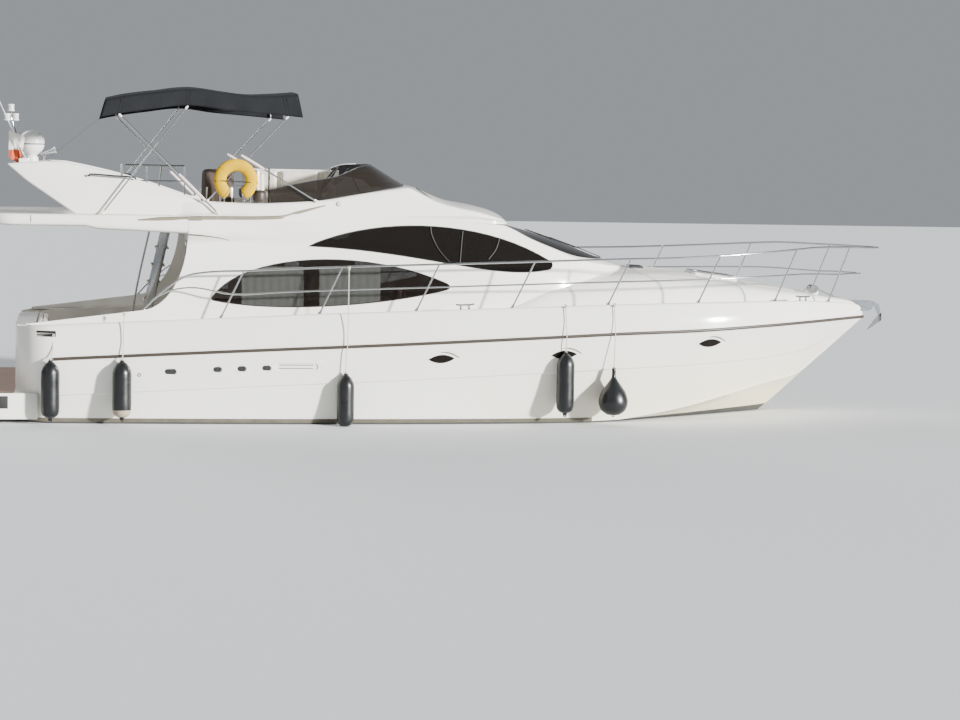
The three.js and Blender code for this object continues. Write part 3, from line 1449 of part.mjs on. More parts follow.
function buildFenders() {
  FENDERS.forEach((f, i) => {
    const widest = Math.max(sideY(f.x, hullLine.railZ(f.x) - 1) - f.r, sideY(f.x, (f.top + f.bottom) / 2));
    const y = -(widest + f.r + 6);
    const upright = new THREE.LatheGeometry(fenderProfile(f), 14).rotateX(Math.PI / 2);
    const body = upright.translate(f.x, y, f.bottom);
    const railZ = hullLine.railZ(f.x);
    const railOut = hullLine.railY(f.x) - quarterCut(f.x) + RUB.proud + 8;
    const topY = f.lineTop > 1700 ? railAt(f.lineX - 250, 1).y + 6 : gunwaleY(f.lineX) + 14;
    const points = [
      v3(f.x, y, f.top - 20),
      v3(f.x, Math.min(y, -railOut), Math.max(f.top + 20, railZ - 60)),
      v3((f.x + f.lineX) / 2, -railOut, Math.max(f.top + 60, railZ + 40)),
      v3(f.lineX, -Math.max(topY, gunwaleY(f.lineX) + 14), f.lineTop),
    ];
    const line = tube(points, 6, 8, 5);
    add(`fender_${i + 1}`, cut(join(body, line), grown(deckForm, 1), grown(hullForm, 1)), blackRubber);
  });
}

// Horseshoe lifebuoy in its rack on the starboard coaming.
const BUOY = { x: -3157, y: -1650, z: 3190, r: 205, thick: 82 };
function buildLifebuoy() {
  const n = 13;
  const points = [];
  for (let i = 0; i < n; i++) {
    const a = THREE.MathUtils.degToRad(-62 + (304 * i) / (n - 1));
    points.push(v3(BUOY.x + BUOY.r * Math.cos(a), BUOY.y, BUOY.z + BUOY.r * Math.sin(a)));
  }
  const path = new THREE.CatmullRomCurve3(points);
  const round = regular(BUOY.thick, 8).getPoints();
  const section = new THREE.Shape(round.map((p) => new THREE.Vector2(p.x * 0.62, p.y)));
  const buoy = new THREE.ExtrudeGeometry(section, { steps: 16, extrudePath: path, bevelEnabled: false });
  add("horseshoe_buoy", cut(buoy, grown(coamingSolid())), buoyYellow);
}

buildHull();
buildDeck();
buildRubRail();
const house = buildHouse();
buildDoor();
buildFlybridge();
buildArch();
buildDeflector();
buildBimini();
buildRails(house);
buildStern();
buildRunningGear();
buildFlybridgeFittings();
buildCockpitAndSaloon();
buildForedeck();
buildFenders();
buildLifebuoy();

export default yacht;
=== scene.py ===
"""Looks of a flybridge motor yacht afloat. Sizes are in millimetres until a point is placed."""

import functools
import json
import math

import bmesh
import bpy
from mathutils import Matrix, Vector
from mathutils.geometry import interpolate_bezier

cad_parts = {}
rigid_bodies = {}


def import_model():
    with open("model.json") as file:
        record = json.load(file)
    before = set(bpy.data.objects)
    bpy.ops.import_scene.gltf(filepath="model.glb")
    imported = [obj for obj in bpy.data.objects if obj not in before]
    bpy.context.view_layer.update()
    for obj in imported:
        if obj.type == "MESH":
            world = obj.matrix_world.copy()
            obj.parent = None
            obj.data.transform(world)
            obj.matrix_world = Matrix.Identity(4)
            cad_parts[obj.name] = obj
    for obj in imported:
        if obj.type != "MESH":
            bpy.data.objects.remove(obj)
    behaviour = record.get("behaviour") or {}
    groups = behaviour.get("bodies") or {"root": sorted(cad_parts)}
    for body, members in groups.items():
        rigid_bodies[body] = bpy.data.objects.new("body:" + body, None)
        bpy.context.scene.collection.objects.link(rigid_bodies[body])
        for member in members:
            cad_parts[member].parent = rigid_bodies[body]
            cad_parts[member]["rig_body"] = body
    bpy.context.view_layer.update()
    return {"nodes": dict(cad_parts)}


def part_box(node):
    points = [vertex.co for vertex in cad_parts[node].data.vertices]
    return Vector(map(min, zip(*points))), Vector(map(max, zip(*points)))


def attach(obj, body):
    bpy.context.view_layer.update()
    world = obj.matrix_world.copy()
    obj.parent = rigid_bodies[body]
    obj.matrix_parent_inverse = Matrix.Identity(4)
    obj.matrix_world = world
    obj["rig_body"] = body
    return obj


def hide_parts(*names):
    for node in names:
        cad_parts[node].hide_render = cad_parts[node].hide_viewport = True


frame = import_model()
scene = bpy.context.scene

# Camera where the photograph was taken, on a floor at the waterline
FOCAL, WIDTH, HORIZON = 2415, 960, 210  # of the photograph, in pixels; the horizon is above its middle
SENSOR = 36
EYE = (-5.14, -33.5, 3.65)
YAW, ROLL = math.radians(-9.4), math.radians(1.07)
lens = bpy.data.cameras.new("photo_camera")
lens.lens = FOCAL / WIDTH * SENSOR
lens.sensor_width = SENSOR
lens.clip_end = 500
camera = bpy.data.objects.new("photo_camera", lens)
camera.matrix_world = (
    Matrix.Translation(EYE)
    @ Matrix.Rotation(YAW, 4, "Z")
    @ Matrix.Rotation(math.pi / 2 - math.atan(HORIZON / FOCAL), 4, "X")
    @ Matrix.Rotation(ROLL, 4, "Z")
)
scene.collection.objects.link(camera)
scene.camera = camera


# Materials
def linear(colour):
    """The linear value of an sRGB hex colour."""
    parts = [int(colour[i : i + 2], 16) / 255 for i in (0, 2, 4)]
    return (*[c / 12.92 if c <= 0.04045 else ((c + 0.055) / 1.055) ** 2.4 for c in parts], 1.0)


def feed(node, inputs):
    """Sets each input of a node to a value, or links it to another node's output."""
    for key, value in inputs.items():
        if isinstance(value, bpy.types.NodeSocket):
            node.id_data.links.new(value, node.inputs[key])
        else:
            node.inputs[key].default_value = value
    return node


def add(shader, kind, settings=None, inputs=None):
    """Adds one node beside the shader."""
    made = shader.id_data.nodes.new("ShaderNode" + kind)
    for key, value in (settings or {}).items():
        setattr(made, key, value)
    return feed(made, inputs or {})


def surface(name, colour, **values):
    """A material, its shader with the values that are the same all over it, and the place of a point."""
    material = bpy.data.materials.new(name)
    material.use_nodes = True
    shader = material.node_tree.nodes["Principled BSDF"]
    plain = {key.replace("_", " "): value for key, value in values.items()}
    feed(shader, {"Base Color": linear(colour), **plain})
    return material, shader, add(shader, "TexCoord").outputs["Object"]


BLEND = {"data_type": "RGBA"}  # a Mix node for colours


def mottle(shader, where, scale, detail, tones=(), gloss=()):
    """Spreads dirt, wear or grain as one noise between two tones and two roughnesses, and returns it."""
    noise = add(shader, "TexNoise", None, {"Vector": where, "Scale": scale, "Detail": detail}).outputs[0]
    if tones:
        first, second = tones
        blend = add(shader, "Mix", BLEND, {0: noise, 6: linear(first), 7: linear(second)})
        feed(shader, {"Base Color": blend.outputs[2]})
    if gloss:
        bright, dull = gloss
        rough = add(shader, "MapRange", None, {"Value": noise, "To Min": bright, "To Max": dull})
        feed(shader, {"Roughness": rough.outputs[0]})
    return noise


def polished_gelcoat():
    """Polyester gelcoat from a polished mould: clear gloss, a faint ripple in the
    reflections, and a streaky cream tint that grows towards the bottom and towards the bow."""
    material, shader, spot = surface("polished_gelcoat", "F3F1EA", Roughness=0.12, IOR=1.53, Coat_Weight=0.2)
    axes = add(shader, "SeparateXYZ", None, {0: spot}).outputs
    low = {"From Min": 1.25, "From Max": 0.1}
    fore = {"From Min": -1.0, "From Max": 5.0}
    # cream tint, stronger towards the bottom and towards the bow, made streaky by a noise
    sunk = add(shader, "MapRange", {"interpolation_type": "SMOOTHSTEP"}, {"Value": axes[2], **low})
    ahead = add(shader, "MapRange", {"interpolation_type": "SMOOTHSTEP"}, {"Value": axes[0], **fore})
    cream = add(shader, "Math", {"operation": "MULTIPLY"}, {0: sunk.outputs[0], 1: ahead.outputs[0]})
    stretched = add(shader, "Mapping", None, {"Vector": spot, "Scale": (3.0, 3.0, 0.5)})
    streak = add(shader, "TexNoise", None, {"Vector": stretched.outputs[0], "Scale": 1.3, "Detail": 4.0})
    uneven = add(shader, "MapRange", None, {"Value": streak.outputs[0], "To Min": 0.0, "To Max": 0.2})
    cream_inputs = {0: cream.outputs[0], 1: 0.8, 2: uneven.outputs[0]}
    cream_share = add(shader, "Math", {"operation": "MULTIPLY_ADD"}, cream_inputs)
    tones = {0: cream_share.outputs[0], 6: linear("F4F2EC"), 7: linear("E9DDB4")}
    tone = add(shader, "Mix", BLEND, tones)
    gloss = add(shader, "MapRange", None, {"Value": streak.outputs[0], "To Min": 0.07, "To Max": 0.2})
    ripple = add(shader, "TexNoise", None, {"Vector": spot, "Scale": 1.5, "Detail": 1.0})
    relief = add(shader, "Bump", None, {"Height": ripple.outputs[0], "Distance": 0.0008})
    feed(shader, {"Base Color": tone.outputs[2], "Roughness": gloss.outputs[0], "Normal": relief.outputs[0]})
    return material


def nonskid_gelcoat():
    """Gelcoat moulded in small diamonds for grip: dull, and a little greyer with dirt.
    Its 4 mm diamonds are drawn at 14 mm, so that they show."""
    material, shader, spot = surface("nonskid_gelcoat", "E6E3DA", Roughness=0.6, IOR=1.53)
    slanted = add(shader, "Mapping", None, {"Vector": spot, "Rotation": (0, 0, math.pi / 4)})
    grid = {"Vector": slanted.outputs[0], "Scale": 1 / 0.014, "Randomness": 0.0}
    diamonds = add(shader, "TexVoronoi", {"distance": "CHEBYCHEV"}, grid)
    mottle(shader, spot, 2.2, 5.0, ("EAE7DF", "D5D1C6"))
    relief = add(shader, "Bump", None, {"Height": diamonds.outputs[0], "Distance": 0.0012})
    feed(shader, {"Normal": relief.outputs[0]})
    return material


def enamel_boot_stripe():
    """Enamel line along the water, grey-brown and half dulled by scum."""
    material, shader, spot = surface("enamel_boot_stripe", "6A6257", Roughness=0.35, IOR=1.5)
    mottle(shader, spot, 7.0, 6.0, ("77705F", "4B443C"), (0.25, 0.6))
    return material


def antifouling_paint():
    """Rolled antifouling: matt, dark, with roller stipple and slime near the water."""
    material, shader, spot = surface("antifouling_paint", "34363A", Roughness=0.85, IOR=1.5)
    high = add(shader, "SeparateXYZ", None, {0: spot}).outputs[2]
    patches = add(shader, "TexNoise", None, {"Vector": spot, "Scale": 3.0, "Detail": 6.0})
    wet = add(shader, "MapRange", None, {"Value": high, "From Min": -0.25, "From Max": 0.1, "To Max": 0.8})
    slime = add(shader, "Math", {"operation": "MULTIPLY"}, {0: patches.outputs[0], 1: wet.outputs[0]})
    tones = {0: slime.outputs[0], 6: linear("33363B"), 7: linear("5C5A46")}
    tone = add(shader, "Mix", BLEND, tones)
    stipple = add(shader, "TexNoise", None, {"Vector": spot, "Scale": 220.0, "Detail": 2.0})
    relief = add(shader, "Bump", None, {"Height": stipple.outputs[0], "Distance": 0.0006})
    feed(shader, {"Base Color": tone.outputs[2], "Normal": relief.outputs[0]})
    return material


def brown_rail_rubber():
    """Extruded vinyl rubber of the rub rail: dark brown, satin, scuffed lighter."""
    material, shader, spot = surface("brown_rail_rubber", "3A3129", Roughness=0.42, IOR=1.5)
    long = add(shader, "Mapping", None, {"Vector": spot, "Scale": (3.0, 3.0, 60.0)})
    mottle(shader, long.outputs[0], 2.0, 6.0, ("2E2721", "463D33"), (0.3, 0.6))
    return material


def smoked_acrylic(name, colour, alpha, shine=0.5):
    """Cast tinted acrylic: a hard bright reflection over a dark see-through brown."""
    see_through = {"Alpha": alpha, "Specular_IOR_Level": shine}
    material, shader, spot = surface(name, colour, Roughness=0.03, IOR=1.49, **see_through)
    wave = add(shader, "TexNoise", None, {"Vector": spot, "Scale": 1.8, "Detail": 0.0})
    relief = add(shader, "Bump", None, {"Height": wave.outputs[0], "Distance": 0.0015})
    mottle(shader, spot, 9.0, 4.0, gloss=(0.02, 0.07))
    feed(shader, {"Normal": relief.outputs[0]})
    return material


def black_gasket():
    """EPDM window gasket and sealant: black, dull, a little dusty."""
    material, shader, spot = surface("black_gasket", "1B1B1C", Roughness=0.6, IOR=1.5)
    mottle(shader, spot, 14.0, 5.0, ("151516", "2B2A29"))
    return material


def polished_stainless():
    """Marine stainless tube, mechanically polished: bright, with faint draw lines."""
    material, shader, spot = surface("polished_stainless", "C9CBCC", Roughness=0.14, Metallic=1.0)
    mottle(shader, spot, 40.0, 5.0, ("D2D4D5", "B4B6B7"), (0.08, 0.24))
    return material


def cast_bronze():
    """Propeller bronze: golden, with a brown-green film and a fine casting skin."""
    material, shader, spot = surface("cast_bronze", "A9823F", Roughness=0.35, Metallic=1.0)
    mottle(shader, spot, 9.0, 6.0, ("B58E49", "6E6440"), (0.25, 0.6))
    skin_marks = add(shader, "TexNoise", None, {"Vector": spot, "Scale": 300.0})
    relief = add(shader, "Bump", None, {"Height": skin_marks.outputs[0], "Distance": 0.0002})
    feed(shader, {"Normal": relief.outputs[0]})
    return material


def galvanised_steel():
    """Hot-dip galvanised steel: dull grey with the crystals of the zinc."""
    material, shader, spot = surface("galvanised_steel", "73777A", Roughness=0.5, Metallic=1.0)
    crystals = add(shader, "TexVoronoi", None, {"Vector": spot, "Scale": 60.0}).outputs["Distance"]
    tones = {0: crystals, 6: linear("85898B"), 7: linear("5F6366")}
    tone = add(shader, "Mix", BLEND, tones)
    gloss = add(shader, "MapRange", None, {"Value": crystals, "To Min": 0.4, "To Max": 0.65})
    feed(shader, {"Base Color": tone.outputs[2], "Roughness": gloss.outputs[0]})
    return material


def painted_iron():
    """Sprayed grey enamel on cast iron, with an oily sheen."""
    material, shader, spot = surface("painted_iron", "7A7F82", Roughness=0.45, IOR=1.5)
    mottle(shader, spot, 6.0, 6.0, ("838789", "5B5C5B"))
    cast = add(shader, "TexNoise", None, {"Vector": spot, "Scale": 160.0})
    relief = add(shader, "Bump", None, {"Height": cast.outputs[0], "Distance": 0.0005})
    feed(shader, {"Normal": relief.outputs[0]})
    return material


def caulked_teak():
    """Oiled teak laid in 50 mm planks with black caulking, the grain along the boat; its brown tones are
    darkened with painted shade.
    """
    material, shader, spot = surface("caulked_teak", "A2713F", Roughness=0.6, IOR=1.5)
    rows = {"Scale": 1.0, "Brick Width": 1.9, "Row Height": 0.05, "Mortar Size": 0.0024, "Mortar Smooth": 0.2}
    # plank tones darker than the wood's own: painted shade standing in for the hull's shadow on the platform
    tones = {"Color1": linear("865C3A"), "Color2": linear("704A2E"), "Mortar": linear("141210")}
    planks = add(shader, "TexBrick", {"offset": 0.37}, {"Vector": spot, **rows, **tones})
    along = add(shader, "Mapping", None, {"Vector": spot, "Scale": (1.5, 45.0, 45.0)})
    grain = add(shader, "TexNoise", None, {"Vector": along.outputs[0], "Scale": 3.0, "Detail": 8.0})
    shade = add(shader, "MapRange", None, {"Value": grain.outputs[0], "To Min": 0.62, "To Max": 1.25})
    layers = {0: 1.0, 6: planks.outputs[0], 7: shade.outputs[0]}
    mixed = add(shader, "Mix", {**BLEND, "blend_type": "MULTIPLY"}, layers)
    relief = add(shader, "Bump", None, {"Height": planks.outputs["Fac"], "Distance": -0.001})
    feed(shader, {"Base Color": mixed.outputs[2], "Normal": relief.outputs[0]})
    return material


def marine_vinyl(name, light, dark):
    """Coated marine upholstery vinyl: soft satin, with a pressed leather grain of
    about 2 mm, drawn at 5 mm."""
    material, shader, spot = surface(name, light, Roughness=0.42, IOR=1.5)
    grain = add(shader, "TexVoronoi", {"feature": "SMOOTH_F1"}, {"Vector": spot, "Scale": 200.0})
    mottle(shader, spot, 5.0, 5.0, (light, dark), (0.35, 0.55))
    relief = add(shader, "Bump", None, {"Height": grain.outputs[0], "Distance": 0.0005})
    feed(shader, {"Normal": relief.outputs[0]})
    return material


def acrylic_canvas(name, light, dark):
    """Woven acrylic canvas: quite matt, faded in patches; its 0.6 mm threads are drawn at 5 mm."""
    material, shader, spot = surface(name, light, Roughness=0.92, IOR=1.45, Specular_IOR_Level=0.12)
    thread = {"Vector": spot, "Scale": 1 / 0.005 / (2 * math.pi), "Distortion": 0.3, "Detail": 1.0}
    warp = add(shader, "TexWave", {"bands_direction": "X"}, thread)
    weft = add(shader, "TexWave", {"bands_direction": "Y"}, thread)
    weave = add(shader, "Math", {"operation": "MULTIPLY"}, {0: warp.outputs[1], 1: weft.outputs[1]})
    mottle(shader, spot, 2.5, 5.0, (light, dark))
    relief = add(shader, "Bump", None, {"Height": weave.outputs[0], "Distance": 0.0006})
    feed(shader, {"Normal": relief.outputs[0]})
    return material


def curtain_cloth():
    """Lined curtain cloth, a pale grey-green, with slubs that run down it."""
    material, shader, spot = surface("curtain_cloth", "E0E6DE", Roughness=0.9, IOR=1.45, Sheen_Weight=0.2)
    down = add(shader, "Mapping", None, {"Vector": spot, "Scale": (90.0, 90.0, 5.0)})
    slubs = mottle(shader, down.outputs[0], 2.0, 4.0, ("E6ECE4", "D0D7CF"))
    relief = add(shader, "Bump", None, {"Height": slubs, "Distance": 0.0008})
    feed(shader, {"Normal": relief.outputs[0]})
    return material


def fender_vinyl(name, light, dark):
    """Blown vinyl of a fender: glossy, scuffed duller where it rubs."""
    material, shader, spot = surface(name, light, Roughness=0.3, IOR=1.52)
    mottle(shader, spot, 11.0, 7.0, (dark, light), (0.18, 0.5))
    return material


def laid_rope():
    """Three-strand polyester rope, off-white; its twist shows as a slanted rib, with painted shade in the
    grooves between strands.
    """
    material, shader, spot = surface("laid_rope", "D8D3C4", Roughness=0.8, IOR=1.45, Sheen_Weight=0.2)
    slant = add(shader, "Mapping", None, {"Vector": spot, "Rotation": (0.6, 0.0, 0.0)})
    lay = {"Vector": slant.outputs[0], "Scale": 1 / 0.012 / (2 * math.pi)}
    strands = add(shader, "TexWave", {"bands_direction": "Z"}, lay)
    # darker where the rib's bump is low, in the grooves between strands: painted shade
    tones = {0: strands.outputs[1], 6: linear("9B968A"), 7: linear("DEDACD")}
    tone = add(shader, "Mix", BLEND, tones)
    relief = add(shader, "Bump", None, {"Height": strands.outputs[1], "Distance": 0.001})
    feed(shader, {"Base Color": tone.outputs[2], "Normal": relief.outputs[0]})
    return material


def buoy_vinyl():
    """Heat-sealed yellow cover of the lifebuoy: satin, a little sun-faded and creased."""
    material, shader, spot = surface("buoy_vinyl", "CFA600", Roughness=0.6, IOR=1.45, Specular_IOR_Level=0.1)
    mottle(shader, spot, 6.0, 5.0, ("D4AC00", "C29600"))
    creases = add(shader, "TexNoise", {"noise_type": "RIDGED_MULTIFRACTAL"}, {"Vector": spot, "Scale": 9.0})
    relief = add(shader, "Bump", None, {"Height": creases.outputs[0], "Distance": 0.0015})
    feed(shader, {"Normal": relief.outputs[0]})
    return material


def black_rubber():
    """Moulded black rubber and glass-filled nylon: even, satin, finely spark-textured."""
    material, shader, spot = surface("black_rubber", "222324", Roughness=0.5, IOR=1.52)
    spark = mottle(shader, spot, 260.0, 2.0, gloss=(0.4, 0.62))
    relief = add(shader, "Bump", None, {"Height": spark, "Distance": 0.0003})
    feed(shader, {"Normal": relief.outputs[0]})
    return material


def moulded_plastic():
    """Injection-moulded white plastic: softer gloss than the gelcoat, very even."""
    body = {"Roughness": 0.3, "IOR": 1.5, "Subsurface_Weight": 0.03}
    material, shader, spot = surface("moulded_plastic", "EEEDE8", **body)
    mottle(shader, spot, 20.0, 4.0, gloss=(0.24, 0.38))
    return material


def varnished_cherry():
    """Varnished cherry joinery: warm red-brown with long grain under a clear coat."""
    material, shader, spot = surface("varnished_cherry", "5E3820", Roughness=0.4, IOR=1.5, Coat_Weight=0.3)
    along = add(shader, "Mapping", None, {"Vector": spot, "Scale": (1.5, 14.0, 14.0)})
    mottle(shader, along.outputs[0], 2.5, 9.0, ("694226", "472913"))
    return material


def flag_cloth():
    """Knitted polyester flag: thin, matt, white above and orange-red below."""
    material, shader, spot = surface("flag_cloth", "EDEAE2", Roughness=0.85, IOR=1.45, Sheen_Weight=0.2)
    high = add(shader, "SeparateXYZ", None, {0: spot}).outputs[2]
    band = add(shader, "MapRange", None, {"Value": high, "From Min": 3.55, "From Max": 3.53})
    tones = {0: band.outputs[0], 6: linear("EDEAE2"), 7: linear("C4552E")}
    tone = add(shader, "Mix", BLEND, tones)
    stitches = {"Vector": spot, "Scale": 40.0, "Distortion": 0.5}
    knit = add(shader, "TexWave", {"bands_direction": "Z"}, stitches)
    relief = add(shader, "Bump", None, {"Height": knit.outputs[1], "Distance": 0.0006})
    feed(shader, {"Base Color": tone.outputs[2], "Normal": relief.outputs[0]})
    return material


def lamp_lens():
    """Clear pressed lens of a lamp, milky over its bulb, with fine flutes."""
    body = {"Roughness": 0.08, "IOR": 1.49, "Transmission_Weight": 0.35}
    material, shader, spot = surface("lamp_lens", "F4F5F2", **body)
    pitch = {"Vector": spot, "Scale": 1 / 0.006 / (2 * math.pi)}
    flutes = add(shader, "TexWave", {"bands_direction": "Z"}, pitch)
    relief = add(shader, "Bump", None, {"Height": flutes.outputs[1], "Distance": 0.0005})
    feed(shader, {"Normal": relief.outputs[0]})
    return material


GELCOAT = polished_gelcoat()
NONSKID = nonskid_gelcoat()
BOOT_STRIPE = enamel_boot_stripe()
ANTIFOULING = antifouling_paint()
RAIL_BROWN = brown_rail_rubber()
GLASS = smoked_acrylic("smoked_acrylic", "141311", 0.72)
SALOON_GLASS = smoked_acrylic("light_smoked_acrylic", "1A1410", 0.5)
PILOT_GLASS = smoked_acrylic("pilot_smoked_acrylic", "15120F", 0.82, 0.4)
SCREEN_GLASS = smoked_acrylic("dark_smoked_acrylic", "14100D", 0.94, 0.1)
DEFLECTOR_BROWN = smoked_acrylic("brown_acrylic", "241F1B", 0.72)
GASKET = black_gasket()
STAINLESS = polished_stainless()
BRONZE = cast_bronze()
GALVANISED = galvanised_steel()
IRON = painted_iron()
TEAK = caulked_teak()
VINYL = marine_vinyl("marine_vinyl", "EEE9DD", "D9D1BE")
BROWN_VINYL = marine_vinyl("brown_vinyl", "5A4638", "44352B")
CHARCOAL_CANVAS = acrylic_canvas("charcoal_canvas", "27282A", "1C1D1F")
TAUPE_CANVAS = acrylic_canvas("taupe_canvas", "5C5048", "463C36")
CURTAIN = curtain_cloth()
FENDER_BLACK = fender_vinyl("black_fender_vinyl", "141617", "0C0D0E")
FENDER_PALE = fender_vinyl("pale_fender_vinyl", "B9A894", "8F8271")
ROPE = laid_rope()
BUOY_YELLOW = buoy_vinyl()
BLACK = black_rubber()
PLASTIC = moulded_plastic()
CHERRY = varnished_cherry()
LENS = lamp_lens()
SEAM_TAPE = acrylic_canvas("charcoal_seam_tape", "1D1E1F", "161617")
SLEEVE_PVC = fender_vinyl("sleeve_pvc", "EADFDC", "D2C2C0")
# Grey painted shade for the knuckles and a flybridge step, also the galley worktop's grey; brown painted
# shadow under lips and along a crease, also a seam
SHADE_GREY_AND_WORKTOP = fender_vinyl("grey_painted_shade_and_worktop", "857B69", "746A59")
SHADE_AND_SEAM_BROWN = fender_vinyl("brown_painted_shade_and_seam", "4E4439", "3E362D")
FLAG_CLOTH = flag_cloth()


SIDES = (("stbd", -1), ("port", 1))


# Shaping
def place(x, y, z):
    return Vector((x, y, z)) / 1000


def table(names, *lines):
    return [dict(zip(names.split(), line)) for line in lines]


def smooth(rows, key):
    """Smooth value of one column of a table by its first column x, as the solids have it."""
    last = len(rows) - 1

    def slope(i):
        a, b = rows[max(0, i - 1)], rows[min(last, i + 1)]
        return (b[key] - a[key]) / (b["x"] - a["x"])

    def value(x):
        if x <= rows[0]["x"]:
            return rows[0][key]
        if x >= rows[last]["x"]:
            return rows[last][key]
        i = next(k for k in range(last) if x <= rows[k + 1]["x"])
        span = rows[i + 1]["x"] - rows[i]["x"]
        t = (x - rows[i]["x"]) / span
        return hermite(rows[i][key], rows[i + 1][key], slope(i) * span, slope(i + 1) * span, t)

    return value


def columns(rows):
    """The smooth values of every column of a table but x."""
    return {key: smooth(rows, key) for key in rows[0] if key != "x"}


def hermite(a, b, leave, arrive, t):
    """From a to b in a curve that leaves and arrives at those slopes."""
    ends = a * (2 * t**3 - 3 * t**2 + 1) + leave * (t**3 - 2 * t**2 + t)
    return ends + b * (3 * t**2 - 2 * t**3) + arrive * (t**3 - t**2)


def steps(low, high, count):
    """Evenly spaced values, both ends among them."""
    return [low + (high - low) * i / count for i in range(count + 1)]


def circle(radius, count):
    """Points round a circle about the origin."""
    return [(radius * math.cos(a), radius * math.sin(a)) for a in steps(0, 2 * math.pi, count)[:-1]]


def eased(points, corners=(), fine=6):
    """A smooth line through points, which turns sharply only at the corners."""
    points = [Vector(p) for p in points]
    last = len(points) - 1
    line = []
    for i in range(last):
        a, b = points[i], points[i + 1]
        if i in corners and i + 1 in corners:
            line.append(a)
            continue
        leave = arrive = b - a
        if i > 0 and i not in corners:
            leave = (b - points[i - 1]) * (b - a).length / ((b - a).length + (a - points[i - 1]).length)
        if i + 1 < last and i + 1 not in corners:
            arrive = (points[i + 2] - a) * (b - a).length / ((b - a).length + (points[i + 2] - b).length)
        line += [hermite(a, b, leave, arrive, k / fine) for k in range(fine)]
    return [*line, points[last]]


def half_section(points, corners, fine=6):
    """Half of a section, from the centreline below to the centreline above, made smooth."""
    y, z = points[-2]
    line = eased([*points, (-y, z)], {*corners, len(points)}, fine)
    beyond = 1 if len(points) - 1 in corners else fine
    return [tuple(p) for p in line[:-beyond]]


def whole_section(x, half):
    starboard = [(x, -y, z) for y, z in half]
    return starboard + [(x, y, z) for y, z in reversed(half) if y > 0]


def loop(bm, points, closed=True):
    verts = [bm.verts.new(place(*p)) for p in points]
    ends = verts[1:] + verts[:1] if closed else verts[1:]
    return [bm.edges.new(pair) for pair in zip(verts, ends)]


def skin(rings, capped=True, closed=True):
    """A skin stretched over rings of equal length."""
    bm = bmesh.new()
    loops = [loop(bm, ring, closed) for ring in rings]
    for a, b in zip(loops, loops[1:]):
        bmesh.ops.bridge_loops(bm, edges=a + b)
    if capped:
        for end in (loops[0], loops[-1]):
            bmesh.ops.contextual_create(bm, geom=end)
    bmesh.ops.recalc_face_normals(bm, faces=bm.faces)
    return bm


def open_skin(rings):
    """A sheet stretched over lines of equal length, open at all its edges."""
    return skin(rings, capped=False, closed=False)


def prism(outline, axis, low, high):
    """A plate with that outline, from low to high along one axis."""
    turns = {"y": lambda u, v, w: (u, w, v), "z": lambda u, v, w: (u, v, w)}
    return skin([[turns[axis](u, v, w) for u, v in outline] for w in (low, high)])


def rect(x0, x1, y0, y1):
    return [(x0, y0), (x1, y0), (x1, y1), (x0, y1)]


def block(x0, x1, y0, y1, z0, z1, edge=0.0, segments=3):
    """A block with rounded edges."""
    bm = bmesh.new()
    centre = place(x0 + x1, y0 + y1, z0 + z1) / 2
    size = place(x1 - x0, y1 - y0, z1 - z0)
    bmesh.ops.create_cube(bm, size=1, matrix=Matrix.Translation(centre) @ Matrix.Diagonal((*size, 1)))
    if edge:
        soften(bm, edge, segments)
    return bm


def soften(bm, edge, segments=3, above=0.6):
    """Rounds every edge that is sharper than an angle."""
    sharp = [e for e in bm.edges if len(e.link_faces) == 2 and e.calc_face_angle() > above]
    form = {"segments": segments, "profile": 0.5, "affect": "EDGES", "material": -1}
    bmesh.ops.bevel(bm, geom=sharp, offset=edge / 1000, **form)
    return bm


def cut(bm, at, facing):
    """Adds edges where a plane crosses a shape."""
    every = bm.verts[:] + bm.edges[:] + bm.faces[:]
    bmesh.ops.bisect_plane(bm, geom=every, plane_co=at, plane_no=facing)


def moved(bm, matrix):
    bmesh.ops.transform(bm, matrix=matrix, verts=bm.verts)
    return bm


def turned(profile, at, axis=(0, 0, 1), sides=32):
    """A shape turned round an axis from a profile of radius and height."""
    bm = bmesh.new()
    verts = [bm.verts.new(place(r, 0, h)) for r, h in profile]
    edges = [bm.edges.new(pair) for pair in zip(verts, verts[1:])]
    whole = {"cent": (0, 0, 0), "axis": (0, 0, 1), "angle": 2 * math.pi, "use_merge": True}
    bmesh.ops.spin(bm, geom=verts + edges, steps=sides, **whole)
    bmesh.ops.remove_doubles(bm, verts=bm.verts, dist=1e-6)
    turn = Vector((0, 0, 1)).rotation_difference(Vector(axis)).to_matrix().to_4x4()
    moved(bm, Matrix.Translation(place(*at)) @ turn)
    bmesh.ops.recalc_face_normals(bm, faces=bm.faces)
    return bm


def tube(points, radius, sides=12, closed=False):
    """A round bar bent through points. Its radius may be a function of the share of its length."""
    points = [Vector(p) for p in points]
    last = len(points) - 1
    rings, across, before = [], None, None
    for i, point in enumerate(points):
        behind = points[i - 1] if i or closed else point
        beyond = points[(i + 1) % (last + 1)] if i < last or closed else point
        ahead = (beyond - behind).normalized()
        across = before.rotation_difference(ahead) @ across if before else ahead.orthogonal()
        across = (across - ahead * across.dot(ahead)).normalized()
        before = ahead
        r = radius(i / last) if callable(radius) else radius
        around = [2 * math.pi * k / sides for k in range(sides)]
        rings.append([point + (across * math.cos(a) + ahead.cross(across) * math.sin(a)) * r for a in around])
    if closed:
        rings.append(rings[0])
    bm = skin(rings, capped=not closed)
    if closed:
        bmesh.ops.remove_doubles(bm, verts=bm.verts, dist=1e-6)
    return bm


def bent(points, radius, sides=12, fine=6):
    """A bar bent in one smooth line through points."""
    return tube(eased(points, (), fine), radius, sides)


def traced(onto, points):
    """Points of a line drawn on a surface."""
    return [onto(*p, 0) for p in points]


